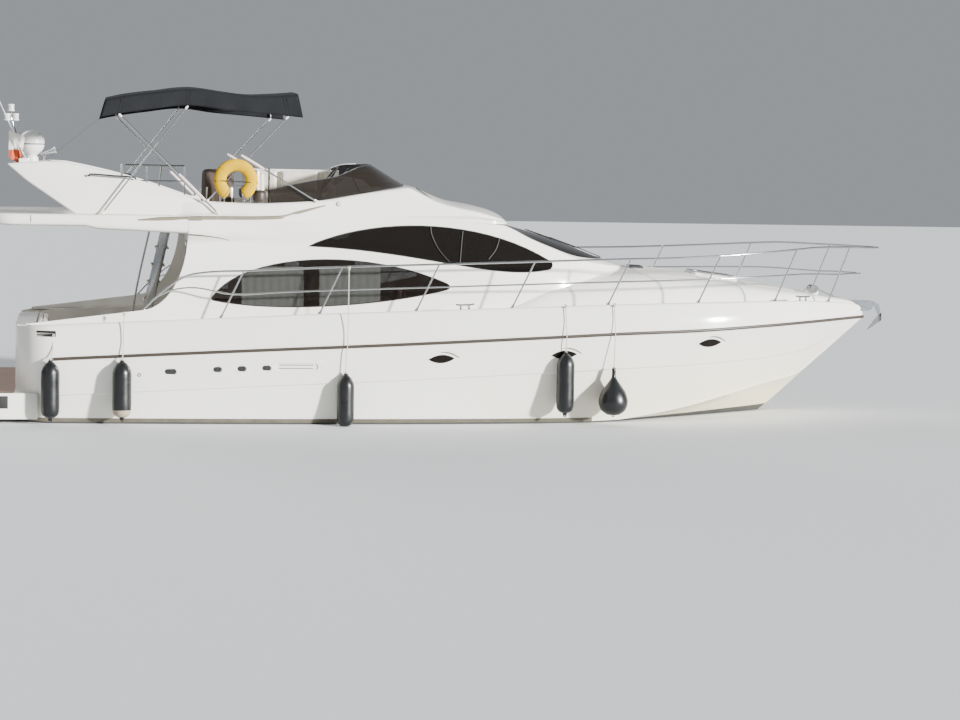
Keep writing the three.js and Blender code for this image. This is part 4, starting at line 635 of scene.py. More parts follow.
def both_halves(half):
    """A line from starboard to port, given the half of it that ends on the centreline."""
    return [(x, -y, z) for x, y, z in half] + [tuple(p) for p in half[-2::-1]]


def together(*shapes):
    """Several shapes as one."""
    whole = bmesh.new()
    for shape in shapes:
        mesh = bpy.data.meshes.new("part")
        shape.to_mesh(mesh)
        shape.free()
        whole.from_mesh(mesh)
        bpy.data.meshes.remove(mesh)
    return whole


def both_sides(bm):
    """The shape and its mirror image across the boat."""
    bmesh.ops.mirror(bm, geom=bm.verts[:] + bm.edges[:] + bm.faces[:], axis="Y", merge_dist=-1)
    bmesh.ops.recalc_face_normals(bm, faces=bm.faces)
    return bm


def loose(bm, name="tool"):
    mesh = bpy.data.meshes.new(name)
    bm.to_mesh(mesh)
    bm.free()
    obj = bpy.data.objects.new(name, mesh)
    scene.collection.objects.link(obj)
    return obj


def carve(bm, *tools, how="DIFFERENCE"):
    """The shape with the tools cut out of it, or common with them, or joined to them."""
    body = loose(bm, "body")
    others = [loose(tool) for tool in tools]
    for other in others:
        step = body.modifiers.new("carve", "BOOLEAN")
        step.operation = how
        step.solver = "EXACT"
        step.object = other
    mesh = bpy.data.meshes.new_from_object(body.evaluated_get(bpy.context.evaluated_depsgraph_get()))
    out = bmesh.new()
    out.from_mesh(mesh)
    for obj in [body, *others]:
        bpy.data.meshes.remove(obj.data)
    bpy.data.meshes.remove(mesh)
    return out


def laid(outline, onto, thick, grid=90):
    """A plate of that outline bent onto a surface: onto(u, v, out) gives the place of a point."""
    bm = bmesh.new()
    bm.faces.new([bm.verts.new((u, v, 0)) for u, v in outline])
    for axis in (0, 1):
        low, high = min(p[axis] for p in outline), max(p[axis] for p in outline)
        count = max(1, round((high - low) / grid))
        across = Vector((axis == 0, axis == 1, 0))
        for at in steps(low, high, count)[1:-1]:
            cut(bm, across * at, across)
    back = bmesh.ops.extrude_face_region(bm, geom=bm.faces[:])["geom"]
    bmesh.ops.translate(bm, vec=(0, 0, -thick), verts=[v for v in back if isinstance(v, bmesh.types.BMVert)])
    for vert in bm.verts:
        vert.co = place(*onto(*vert.co))
    bmesh.ops.recalc_face_normals(bm, faces=bm.faces)
    return bm


def outline_of(start, *moves, fine=20):
    """Points of an outline: a move to one point is straight, one of three is a curve."""
    points = [Vector(start)]
    for move in moves:
        if len(move) == 2:
            points.append(Vector(move))
        else:
            knots = [points[-1], *[Vector(move[i : i + 2]) for i in (0, 2, 4)]]
            points += [Vector(p[:2]) for p in interpolate_bezier(*knots, fine + 1)[1:]]
    if (points[0] - points[-1]).length < 0.5:
        points.pop()
    return [tuple(p) for p in points]


def drawn_in(outline, by):
    """An outline drawn in evenly, with mitred corners."""
    points = [Vector(p) for p in outline]
    count = len(points)
    area = sum(points[i - 1].x * points[i].y - points[i].x * points[i - 1].y for i in range(count))
    side = 1 if area > 0 else -1
    result = []
    for i, p in enumerate(points):
        a, b = (p - points[i - 1]).normalized(), (points[(i + 1) % count] - p).normalized()
        n1, n2 = Vector((-a.y, a.x)) * side, Vector((-b.y, b.x)) * side
        result.append(tuple(p + (n1 + n2) * by / (1 + n1.dot(n2))))
    return result


def piece(name, shape, *materials, body="boat", angle=32, stands_for=(), slot=None):
    """Makes a finished shape, or a list of them, an object that rides on its body."""
    bm = together(*shape) if isinstance(shape, list) else shape
    bmesh.ops.remove_doubles(bm, verts=bm.verts, dist=2e-6)
    for face in bm.faces:
        face.smooth = True
    mesh = bpy.data.meshes.new(name)
    bm.to_mesh(mesh)
    bm.free()
    mesh.set_sharp_from_angle(angle=math.radians(angle))
    for material in materials:
        mesh.materials.append(material)
    obj = bpy.data.objects.new(name, mesh)
    scene.collection.objects.link(obj)
    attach(obj, body)
    if stands_for:
        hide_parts(*stands_for)
    return obj


def merged(node):
    """A copy of a node of the solids, with its loose triangles joined up."""
    bm = bmesh.new()
    bm.from_mesh(frame["nodes"][node].data)
    bmesh.ops.remove_doubles(bm, verts=bm.verts, dist=1e-5)
    bmesh.ops.dissolve_limit(bm, angle_limit=0.01, verts=bm.verts, edges=bm.edges)
    return bm


def dressed(node, material, slot, edge):
    """Stands in for a node with a smooth copy of it, its sharp edges softened."""
    body = frame["nodes"][node]["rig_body"]
    obj = piece(f"{node}_finished", merged(node), material, body=body, angle=35, stands_for=[node], slot=slot)
    if edge:
        round_edges = obj.modifiers.new("edges", "BEVEL")
        round_edges.width = edge / 1000
        round_edges.segments = 2
        round_edges.limit_method = "ANGLE"
        round_edges.angle_limit = math.radians(35)


# Lines of the hull and the deck, as in the solids
HULL = table(
    "x keel chineY chineZ railY railZ fullness",
    (-6000, -500, 1690, -70, 1860, 822, 0.62),
    (-5000, -555, 1760, -70, 1935, 880, 0.62),
    (-3000, -620, 1830, -70, 2052, 985, 0.62),
    (-1000, -660, 1845, -60, 2100, 1080, 0.66),
    (1000, -670, 1760, -25, 2074, 1182, 0.74),
    (2000, -650, 1600, 25, 2000, 1232, 0.84),
    (3000, -560, 1320, 165, 1835, 1264, 0.98),
    (3600, -440, 1090, 290, 1665, 1290, 1.06),
    (4200, -190, 790, 425, 1400, 1314, 1.12),
    (4600, 106, 540, 495, 1170, 1328, 1.12),
    (5000, 459, 190, 552, 888, 1339, 1.08),
    (5400, 812, 30, 836, 560, 1347, 1.0),
    (5750, 1121, 14, 1131, 240, 1352, 1.0),
    (5990, 1334, 6, 1338, 22, 1354, 1.0),
)
hull = columns(HULL)
QUARTER, QUARTER_X = 500, -5500  # radius of the round stern quarters, and where they begin
KNUCKLE_DROP = 480
STATIONS = [
    *[QUARTER_X - QUARTER * math.sin(a) for a in steps(math.pi / 2, 0, 14)],
    *steps(-5400, 5400, 90),
    *steps(5450, 5950, 10),
    5975,
    5990,
]


def quarter(x):
    """How far the round stern quarters draw the plan in."""
    t = min(1, max(0, (QUARTER_X - x) / QUARTER))
    return QUARTER * (1 - math.sqrt(1 - t * t))


def beam(x):
    """Half breadth of the hull at its rail."""
    return hull["railY"](x) - quarter(x)


def knuckle_share(high):
    """How far up a topside of that height the knuckle runs."""
    return max(0.45, 1 - KNUCKLE_DROP / high)


def topside(x, z):
    """Half breadth of the topside at a height."""
    chine, high = hull["chineZ"](x), hull["railZ"](x) - hull["chineZ"](x)
    t = max(0.0, min(1.0, (z - chine) / high))
    y0, y1 = max(4, hull["chineY"](x) - quarter(x)), beam(x)
    step = min(14, y1 * 0.05) if t < knuckle_share(high) else 0
    return max(3, y0 + (y1 - y0) * t ** hull["fullness"](x) - step)


@functools.cache
def hull_half(x):
    chine, rail = hull["chineZ"](x), hull["railZ"](x)
    high = rail - chine
    knuckle = knuckle_share(high)
    keel = hull["keel"](x)
    breadth = max(4, hull["chineY"](x) - quarter(x))
    flat = min(75, breadth * 0.3)
    inner = (breadth - flat, chine - min(14, (chine - keel) * 0.2))
    belly = [(s, s + 0.06 * math.sin(math.pi * s)) for s in steps(0, 1, 6)]
    bottom = [(inner[0] * s, keel + (inner[1] - keel) * up) for s, up in belly]
    side = [knuckle * s for s in (0.06, 0.15, 0.3, 0.45, 0.6, 0.75, 0.9)]
    side += [knuckle - 0.012, knuckle + 0.004, *steps(knuckle + 0.03, 1, 6)]
    upper = [(topside(x, chine + high * t), chine + high * t) for t in side]
    return [*bottom, (breadth, chine), *upper, (0, rail)]


DECK = table(
    "x gunwale inner crown",
    (-6000, 1262, 1500, 1262),
    (-5000, 1318, 1600, 1300),
    (-3350, 1404, 1640, 1372),
    (-2060, 1469, 1640, 1437),
    (-780, 1520, 1630, 1488),
    (500, 1569, 1600, 1537),
    (1000, 1588, 1560, 1900),
    (1500, 1606, 1500, 2000),
    (2350, 1628, 1370, 2052),
    (3100, 1640, 1180, 1998),
    (3600, 1643, 1010, 1928),
    (4050, 1644, 850, 1872),
    (4460, 1640, 690, 1806),
    (4960, 1622, 440, 1730),
    (5400, 1590, 230, 1655),
    (5700, 1562, 120, 1606),
    (5880, 1532, 60, 1548),
    (5990, 1470, 8, 1474),
)
deck = columns(DECK)


def gunwale_y(x):
    """Half breadth of the deck's edge, drawn in from the rail."""
    return beam(x) - min(75, hull["railY"](x) * 0.12)


@functools.cache
def deck_half(x):
    rail_y, rail_z = beam(x), hull["railZ"](x) + 0.4
    gun_y, gun_z = gunwale_y(x), deck["gunwale"](x)
    toe = min(1, gun_y / 500)
    floor = gun_z - 32 * toe
    crown = max(deck["crown"](x), floor)
    inner = min(deck["inner"](x), gun_y - 150 * toe)
    rise = crown - floor
    points = [
        (0, rail_z),
        (rail_y - 1, rail_z),
        (gun_y + (rail_y - gun_y) * 0.72, rail_z + (gun_z - rail_z) * 0.45),
        (gun_y + 6, gun_z - 50 * toe),
        (gun_y - 12 * toe, gun_z - 12 * toe),
        (gun_y - 42 * toe, gun_z),
        (gun_y - 82 * toe, gun_z - 4 * toe),
        (gun_y - 96 * toe, floor),
        (inner, floor + 1),
        (inner * 0.95, floor + rise * 0.34 + 2),
        (inner * 0.84, floor + rise * 0.66 + 3),
        (inner * 0.62, floor + rise * 0.87 + 4),
        (inner * 0.32, floor + rise * 0.97 + 5),
        (0, crown + 6),
    ]
    return half_section(points, {0, 1, 6, 7, 8}, 4)


def height_at(half, y, start):
    """Height of a section at a breadth, on its upper part from point start on."""
    for (y0, z0), (y1, z1) in zip(half[start:], half[start + 1 :]):
        if y1 <= y <= y0:
            return z0 + (z1 - z0) * (y0 - y) / max(y0 - y1, 1e-6)
    return half[-1][1]


def breadth_at(half, z):
    """Half breadth of a section's side at a height."""
    for (y0, z0), (y1, z1) in zip(half[1:], half[2:]):
        if z0 <= z <= z1:
            return y0 + (y1 - y0) * (z - z0) / max(z1 - z0, 1e-6)
    return half[-1][0]


def deck_z(x, y):
    return height_at(deck_half(x), abs(y), 22)


# The cockpit and saloon well and the gate through the transom, with the levels that things stand on
WELL_HALF, WELL_FLOOR, SOLE_Z = 1430, 720, 740
WELL = rect(-5740, 620, -WELL_HALF, WELL_HALF)
ON_SOLE, IN_SALOON, ON_FLYBRIDGE = 740.4, 741, 2720.4


def gate_gap():
    return block(-6200, -5680, 820, 1360, WELL_FLOOR, 2200)


# Vents in both topsides: ends, middle height and half height
VENTS = (
    (-4082, -3918, 700, 42),
    (-3455, -3335, 733, 42),
    (-3142, -3018, 745, 42),
    (-2820, -2694, 757, 40),
    (-2650, -2080, 778, 46),
)


def slot(x0, x1, z, half):
    """Outline of a slot with round ends."""
    ends = ((x1 - half, -math.pi / 2), (x0 + half, math.pi / 2))
    turns = [(x, start + turn) for x, start in ends for turn in steps(0, math.pi, 8)]
    return [(x + half * math.cos(a), z + half * math.sin(a)) for x, a in turns]


def on_topside(side, lift=0.0):
    """Gives the place of a point on the topside, for laid and traced."""
    return lambda x, z, out: (x, side * (topside(x, z) + lift + out), z)


# Tops of the boot stripe and the antifouling, which rises with a slope forward of PAINT_X
STRIPE_Z, PAINT_Z, PAINT_X, PAINT_RISE = 74, 22, 1650, 0.0245


def bottom_paint_z(x):
    """Top of the antifouling, which runs up towards the bow."""
    return PAINT_Z + max(0, x - PAINT_X) * PAINT_RISE


def paint_hull(bm):
    """Boot stripe and antifouling, each with a crisp edge, on the outside only."""
    level = (0, 0, 1)
    rising = (-PAINT_RISE, 0, 1)
    for high, normal in ((PAINT_Z, level), (STRIPE_Z, level), (PAINT_Z - PAINT_X * PAINT_RISE, rising)):
        cut(bm, place(0, 0, high), normal)
    for face in bm.faces:
        centre = face.calc_center_median() * 1000
        over_well = abs(centre.y) < WELL_HALF + 10 and -5745 < centre.x < 625
        inside = over_well and centre.z > -146 and face.normal.z > -0.5
        if not inside and centre.z < bottom_paint_z(centre.x):
            face.material_index = 2
        elif not inside and centre.z < STRIPE_Z and centre.x < PAINT_X:
            face.material_index = 1
    return bm


def build_hull():
    """Painted hull shell, cut for the well, the gate, the engines and the vents, and the shaft logs."""
    form = skin([whole_section(x, hull_half(x)) for x in STATIONS])
    engine_space = block(-4500, -2200, -1050, 1050, -145, 740)
    vents = [laid(slot(*vent), on_topside(side, 40), 54, 60) for vent in VENTS for _, side in SIDES]
    well = prism(WELL, "z", WELL_FLOOR, 3000)
    shell = paint_hull(carve(form, well, gate_gap(), engine_space, *vents))
    paints = (GELCOAT, BOOT_STRIPE, ANTIFOULING)
    piece("hull_shell", shell, *paints, stands_for=["hull"], slot="gelcoat", angle=20)
    logs = []
    for y in (-640, 640):
        slope = Vector((0.985856, 0, 0.167595))
        screw = Vector((-5230, y, -760))
        logs.append(tube([screw + slope * 1600, screw + slope * 2300], 48, 24))
        logs.append(turned([(26, 0), (38, 0), (52, 200), (0, 200)], (-5660, y, -420), sides=24))
    piece("shaft_logs", logs, ANTIFOULING)


HATCH_X, HATCH_SPAN = 3720, 540


def hatch_lie():
    """Where the foredeck hatch lies, at the slope of the deck under it."""
    after, fore = HATCH_X - HATCH_SPAN / 2, HATCH_X + HATCH_SPAN / 2
    slope = math.atan((deck["crown"](fore) - deck["crown"](after)) / HATCH_SPAN)
    at = Matrix.Translation(place(HATCH_X, 0, deck["crown"](HATCH_X) + 12))
    return at @ Matrix.Rotation(-slope, 4, "Y")


def hatch_frame():
    """Raised coaming that the foredeck hatch closes on."""
    ring = carve(block(-310, 310, -310, 310, -60, 22, 14), block(-250, 250, -250, 250, -90, 60, 10))
    return moved(ring, hatch_lie())


def build_deck():
    """Deck moulding, cut for the well, the gate and the quarter slots, with the hatch's frame."""
    form = skin([whole_section(x, deck_half(x)) for x in STATIONS])
    slots = [block(-5725, -5470, *sorted((1690 * side, 2000 * side)), 1135, 1213, 14) for _, side in SIDES]
    shell = carve(form, prism(WELL, "z", SOLE_Z, 3000), gate_gap(), *slots)
    shell = carve(shell, hatch_frame(), how="UNION")
    piece("deck_moulding", shell, GELCOAT, stands_for=["deck"], slot="gelcoat", angle=28)


def build_rub_rail():
    """Vinyl strip over the joint of hull and deck, in one length round the bow."""
    xs = [*steps(-5500, 5400, 110), *steps(5450, 5990, 18)]
    section = [(0, -21), (14, -19), (21, -13), (24.5, 0), (21, 13), (14, 19), (0, 21)]

    def ring(x, side):
        y, z = hull["railY"](x) + 0.8, hull["railZ"](x)
        narrow = min(1, (hull["railY"](x) - 10) / 40)
        return [(x + out * (1 - narrow) * 1.2, side * (y + out * narrow), z + up) for out, up in section]

    nose = [(5992 + out * 1.35, 0, hull["railZ"](5990) + up) for out, up in section]
    rings = [ring(x, -1) for x in xs] + [nose] + [ring(x, 1) for x in reversed(xs)]
    piece("rub_rail_strip", skin(rings), RAIL_BROWN, stands_for=["rub_rail"], slot="rail_brown", angle=40)


# The deckhouse
HOUSE = table(
    "x foot middle upper crease shoulder shoulderZ crown",
    (-5850, 1690, 1690, 1690, 1705, 1720, 2660, 2700),
    (-4300, 1690, 1650, 1610, 1705, 1720, 2660, 2700),
    (-3700, 1680, 1628, 1588, 1696, 1706, 2660, 2700),
    (-3200, 1676, 1620, 1548, 1622, 1650, 2660, 2700),
    (-2500, 1670, 1612, 1500, 1534, 1590, 2660, 2700),
    (-1500, 1664, 1608, 1486, 1480, 1472, 2660, 2700),
    (-500, 1645, 1590, 1470, 1452, 1432, 2660, 2700),
    (100, 1610, 1560, 1445, 1422, 1396, 2658, 2690),
    (500, 1560, 1512, 1405, 1376, 1335, 2630, 2662),
    (850, 1500, 1455, 1365, 1338, 1300, 2462, 2588),
    (1170, 1440, 1390, 1310, 1284, 1245, 2332, 2492),
    (1470, 1350, 1300, 1230, 1202, 1160, 2215, 2388),
    (1750, 1210, 1160, 1095, 1068, 1030, 2140, 2292),
    (2044, 960, 910, 850, 830, 800, 2095, 2180),
    (2230, 690, 650, 600, 584, 560, 2075, 2118),
    (2330, 400, 370, 340, 324, 300, 2062, 2082),
)
house = columns(HOUSE)
HOUSE_FOOT, HOUSE_TOP = 1280, 2660
BULKHEAD_X = (-3700, -3660)
HOUSE_X = [*steps(-5850, -4400, 6), *steps(-4300, 2000, 84), *steps(2044, 2330, 9)]


@functools.cache
def house_half(x, inset=0.0, open_top=False):
    at = {key: line(x) for key, line in house.items()}
    shoulder = at["shoulderZ"] - inset * 0.35
    high = at["shoulderZ"] - HOUSE_FOOT
    crown = 2900 if open_top and x < 420 else at["crown"] - inset
    edge = max(12, at["shoulder"] - inset)
    points = [
        (0, HOUSE_FOOT),
        (max(12, at["foot"] - inset), HOUSE_FOOT),
        (max(12, at["middle"] - inset), HOUSE_FOOT + high * 0.42),
        (max(12, (at["middle"] + at["upper"]) / 2 + 8 - inset), HOUSE_FOOT + high * 0.62),
        (max(12, at["upper"] - inset), HOUSE_FOOT + high * 0.79),
        (max(12, at["crease"] - inset), HOUSE_FOOT + high * 0.875),
        (edge, shoulder),
        (edge * 0.84, shoulder + (crown - shoulder) * 0.42),
        (edge * 0.56, shoulder + (crown - shoulder) * 0.8),
        (edge * 0.26, shoulder + (crown - shoulder) * 0.96),
        (0, crown),
    ]
    return half_section(points, {0, 1, 6}, 5)


def house_form(inset=0.0, open_top=False):
    rings = [whole_section(x, house_half(x, inset, open_top)) for x in HOUSE_X[:-1]]
    return skin([*rings, whole_section(HOUSE_X[-1] - inset, house_half(HOUSE_X[-1], inset, open_top))])


def house_y(x, z):
    """Half breadth of the deckhouse at a height."""
    return breadth_at(house_half(x)[:27], z)


def house_z(x, y):
    return height_at(house_half(x), abs(y), 26)


SALOON_WINDOW = outline_of(
    (-3450, 1665),
    (-3050, 2250, -1400, 2330, -330, 1866),
    (-270, 1838, -268, 1790, -335, 1772),
    (-1200, 1550, -2650, 1450, -3430, 1610),
    (-3463, 1620, -3470, 1638, -3450, 1665),
)
PILOT_WINDOW = outline_of(
    (-2185, 2334),
    (-1450, 2700, 50, 2800, 1125, 2168),
    (1190, 2128, 1165, 2052, 1085, 2045),
    (350, 1900, -650, 2285, -2185, 2334),
)
SCREEN = outline_of(
    (560, -1286),
    (900, -1260),
    (1400, -1190, 2060, -980, 2075, 0),
    (2060, 980, 1400, 1190, 900, 1260),
    (560, 1286),
)
AFT_SWEEP = outline_of(
    (-5900, 3100),
    (-5900, 1285),
    (-5730, 1306),
    (-4330, 1482),
    (-4050, 1530, -3790, 1900, -3768, 2480),
    (-3768, 3100),
)


def on_house(side, lift):
    """Gives the place of a point on the deckhouse side, for laid and traced."""
    return lambda x, z, out: (x, side * (house_y(x, z) + lift + out), z)


def build_house():
    """Hollow deckhouse with its bulkhead, and the panes and gaskets of its windows."""
    windows = (("saloon", SALOON_WINDOW, SALOON_GLASS), ("pilot", PILOT_WINDOW, PILOT_GLASS))
    sides = ((-2200, -1000), (1000, 2200))
    tools = [prism(shape, "y", *span) for _, shape, _ in windows for span in sides]
    tools += [house_form(45, True), block(-6500, 3000, -2500, 2500, HOUSE_TOP, 3400)]
    tools += [prism(AFT_SWEEP, "y", -2500, 2500), prism(SCREEN, "z", 1900, 2900)]
    tools += [prism(WELL, "z", SOLE_Z, 1880), block(-6500, 3000, -WELL_HALF, WELL_HALF, 1200, 1300)]
    walls = carve(house_form(), *tools)
    head = carve(block(*BULKHEAD_X, -1800, 1800, 1350, HOUSE_TOP), house_form(42), how="INTERSECT")
    openings = ((-400, 310, 690), (400, 1270, 1000), (-1270, -490, 1000))
    lights = [block(-3760, -3600, y0, y1, z0, 2300) for y0, y1, z0 in openings]
    bulkhead = carve(head, block(*BULKHEAD_X, -1426, 1426, ON_SOLE, 1500), how="UNION")
    bulkhead = carve(bulkhead, *lights)
    moulding = together(walls, bulkhead)
    piece("deckhouse_moulding", moulding, GELCOAT, stands_for=["deckhouse"], slot="gelcoat", angle=24)
    for name, side in SIDES:
        for window, shape, glass in windows:
            node = f"{window}_window_{name}"
            shape = [(x, min(z, HOUSE_TOP - 6)) for x, z in drawn_in(shape, 3)]
            pane = laid(shape, on_house(side, -9), 10)
            piece(f"{window}_pane_{name}", pane, glass, stands_for=[node], slot="smoked_glass")
            rim = tube(traced(on_house(side, -3), shape), 8, 8, closed=True)
            piece(f"{window}_gasket_{name}", rim, GASKET)
    plan = [(max(x, 566), y) for x, y in drawn_in(SCREEN, 3)]
    pane = laid(plan, lambda x, y, out: (x, y, house_z(x, y) - 9 + out), 10)
    piece("windscreen_pane", pane, SCREEN_GLASS, stands_for=["windscreen"], slot="smoked_glass")
    rim = [Vector((x, y, house_z(x, y) - 3)) for x, y in plan]
    piece("windscreen_gasket", tube(rim, 9, 8, closed=True), GASKET)


# The flybridge: floor with its overhang, coaming and the tub cut into it
SLAB = table(
    "x half bottom",
    (-6330, 1380, 2590),
    (-6290, 1560, 2578),
    (-6200, 1670, 2572),
    (-6000, 1725, 2570),
    (-5090, 1742, 2570),
    (-4940, 1742, 2532),
    (-4400, 1740, 2515),
    (-3771, 1712, 2486),
    (-3770, 1711, 2663),
    (-3590, 1686, 2663),
)
overhang = columns(SLAB)
SLAB_TOP, COAMING_FOOT = 2720, 2660.4
WING_OUT, WING_LEAN = 1585, 0.12
COAMING = table(
    "x half top crown drawnIn",
    (-3600, 1600, 2918, 2918, 0),
    (-3200, 1594, 2900, 2900, 0),
    (-2860, 1588, 2894, 2894, 0),
    (-2500, 1560, 2908, 2908, 0),
    (-2000, 1500, 2944, 2944, 0),
    (-1500, 1452, 3030, 3030, 0),
    (-1000, 1415, 3108, 3116, 0),
    (-820, 1400, 3122, 3146, 0),
    (-640, 1388, 3035, 3128, 0),
    (-430, 1375, 2940, 3040, 0),
    (-200, 1360, 2880, 2956, 0),
    (140, 1325, 2815, 2897, 0),
    (400, 1220, 2748, 2836, 20),
    (500, 1120, 2718, 2796, 110),
    (570, 960, 2694, 2748, 260),
    (615, 640, 2678, 2710, 560),
    (640, 220, 2668, 2684, 980),
)
coaming = columns(COAMING)
COAMING_X = [*steps(-3600, -1050, 36), *steps(-1000, 480, 42), *steps(500, 640, 16)]
TUB = outline_of(
    (-3700, -1480),
    (-2600, -1455),
    (-1700, -1360),
    (-1250, -1290, -1040, -1000, -1040, 0),
    (-1040, 1000, -1250, 1290, -1700, 1360),
    (-2600, 1455),
    (-3700, 1480),
)


@functools.cache
def coaming_half(x):
    half, top, crown = coaming["half"](x), coaming["top"](x), coaming["crown"](x)
    edge = house["shoulder"](x) - 2 - max(0, coaming["drawnIn"](x))
    bottom = COAMING_FOOT
    points = [
        (0, bottom),
        (edge, bottom),
        (edge - 4, bottom + min(59.6, (top - bottom) * 0.4)),
        (half, bottom + min(99.6, (top - bottom) * 0.6)),
        (half - 22, top - (top - bottom) * 0.12),
        (half - 60, top),
        (half * 0.6, crown - (crown - top) * 0.3 + 1),
        (0, crown + 2),
    ]
    return half_section(points, {0, 1, 2, 3}, 5)


def slab_half(half, bottom, top=SLAB_TOP):
    depth = SLAB_TOP - bottom
    points = [
        (0, bottom),
        (half - 60, bottom),
        (half - 14, bottom + depth * 0.12),
        (half, bottom + depth * 0.4),
        (half - 4, top - depth * 0.14),
        (half - 24, top),
        (0, top),
    ]
    return half_section(points, {0, 1, 5, 6}, 4)


def coaming_y(x, z):
    """Half breadth of the coaming at a height."""
    return breadth_at(coaming_half(x)[:22], z)


def build_flybridge():
    """The floor with its stairwell, the coaming, and the fairing that leads it into the arch's wings."""
    stern = [(x, overhang["half"](x), 2570 + 20 * ((-6000 - x) / 330) ** 2) for x in steps(-6330, -6010, 16)]
    rows = [*stern, *[tuple(row.values()) for row in SLAB[3:]]]
    tops = [SLAB_TOP] * (len(rows) - 1) + [SLAB_TOP - 3]
    slab = skin([whole_section(x, slab_half(half, low, top)) for (x, half, low), top in zip(rows, tops)])
    slab = carve(slab, block(-4720, -3800, 470, 1130, 2300, 3000))
    top = skin([whole_section(x, coaming_half(x)) for x in COAMING_X])
    top = carve(top, prism(TUB, "z", SLAB_TOP, 3600))
    fairing = []
    for x in steps(-3600, -3980, 16):
        blend = 0.5 + 0.5 * math.cos(math.pi * (-3600 - x) / 380)
        outer = []
        for z in (2721, 2740, 2765, 2800, 2835, 2865, 2885, 2898):
            inner = WING_OUT - 7 - WING_LEAN * (z - SLAB_TOP)
            outer.append((x, inner + (coaming_y(-3599, z) - inner) * blend, z))
        fairing.append([(x, 1490, 2721), *outer, (x, 1490, 2898)])
    piece("coaming_fairing", both_sides(skin(fairing)), GELCOAT, angle=50)
    piece("flybridge_deck", slab, GELCOAT, stands_for=["flybridge"], slot="gelcoat", angle=28)
    piece("flybridge_coaming", top, GELCOAT, slot="gelcoat", angle=28)


def build_arch():
    """Two swept wings and the beam between them, with the dome, the light stand, the whip aerial, the horn,
    the grab rails and the canopy's straps."""
    wing = outline_of(
        (-3556, ON_FLYBRIDGE),
        (-3556, 2898),
        (-3602, 2916),
        (-3990, 3050, -4500, 3240, -5380, 3392),
        (-5620, 3402),
        (-6110, 3362),
        (-5860, 3150),
        (-5228, ON_FLYBRIDGE),
    )
    sides = soften(prism(wing, "y", 1440, WING_OUT), 24, 4, 0.5)
    lean = Matrix.Shear("XY", 4, (0.0, -WING_LEAN))
    at_deck = Matrix.Translation(place(0, 0, SLAB_TOP))
    both_sides(moved(sides, at_deck @ lean @ at_deck.inverted()))
    section = [(-6098, 3358), (-6060, 3312), (-5720, 3262), (-5560, 3290), (-5520, 3360), (-5620, 3401)]
    beam = soften(prism(section, "y", -1410, 1410), 12, 3, 0.3)
    wedge = [(-5985, 3345), (-5850, 3357), (-5850, 3425), (-5985, 3425)]
    stand_foot = soften(prism(wedge, "y", -452, -298), 8)
    moulding = together(sides, beam, stand_foot)
    piece("arch_moulding", moulding, GELCOAT, stands_for=["radar_arch"], slot="gelcoat")
    dome = eased([(0, -36), (95, -36), (86, 40), (62, 66), (92, 84), (146, 140), (171, 210), (166, 285),
                  (130, 345), (72, 388), (0, 402)], {0, 1, 2, 3}, 4)
    at = (-5822, 0, 3402)
    band = turned([(172.5, 210), (174, 214), (174, 220), (172.5, 224)], at, sides=48)
    piece("dome_cover", turned([tuple(p) for p in dome], at, sides=48), PLASTIC)
    piece("dome_joint", band, GASKET)
    x, y = -6090, -330
    mast = tube([(x + 165, y, 3400), (x, y, 3960)], 16, 16)
    yard = block(x - 73, x + 73, y - 10, y + 10, 3917, 3932, 3)
    post = tube([(x, y, 3930), (x, y, 4066)], 13)
    piece("light_stand", [mast, yard, post], STAINLESS)
    caps, lenses = [], []
    for at in ((x - 50, y, 3975), (x + 60, y, 3975), (x, y, 4100)):
        caps.append(turned([(0, -46), (42, -46), (45, -40), (45, -28), (0, -28)], at, sides=24))
        caps.append(turned([(0, 28), (45, 28), (45, 38), (38, 46), (0, 46)], at, sides=24))
        lenses.append(turned([(0, -28), (40, -28), (42, 0), (40, 28), (0, 28)], at, sides=24))
    piece("lamp_housings", caps, PLASTIC)
    piece("lamp_lenses", lenses, LENS)
    whip = [(-5892, -420, 3405), (-6330, -420, 4380)]
    piece("whip_aerial", tube(whip, lambda share: 8.5 - 5 * share, 10), PLASTIC)
    piece("whip_ferrule", tube([(-5890, -420, 3400), (-5970, -420, 3574)], 19, 16), STAINLESS)
    bell = [(14, 0), (15, 60), (22, 130), (34, 185), (45, 214), (46, 215), (32, 190), (18, 130), (0, 120)]
    horn = turned(bell, (-5703, 0, 3480), (0.955, 0, 0.296), 28)
    stem = tube([(-5650, 0, 3370), (-5650, 0, 3496)], 15, 16)
    piece("horn", [horn, stem], STAINLESS)
    grabs = []
    for _, side in SIDES:
        bar = ((-5061, 1552, 3216), (-5040, 1580, 3243), (-4760, 1582, 3228), (-4472, 1584, 3210),
               (-4451, 1556, 3184))
        grabs.append(bent([(x, side * y, z) for x, y, z in bar], 11, 12, 5))
    piece("wing_grab_rails", grabs, BLACK)
    for name, side in SIDES:
        ends = [(-4890, side * 1500, 4010), (-5280, side * 1496, 3690), (-5640, side * 1490, 3398)]
        strap = skin([[(x - 11, y, z - 8), (x + 11, y, z + 8), (x + 11, y + 2, z + 8), (x - 11, y + 2, z - 8)]
                      for x, y, z in ends])
        piece(f"canopy_strap_{name}", strap, BLACK)


def hull_eye(x, z, half, high):
    """An eye-shaped outline with pointed ends, tilted with the sheer."""
    bow = [(x + half * t, z + 0.05 * half * t + high * (1 - t * t)) for t in steps(-1, 1, 16)]
    return bow + [(x + half * t, z + 0.05 * half * t - high * (1 - t * t)) for t in steps(1, -1, 16)[1:-1]]


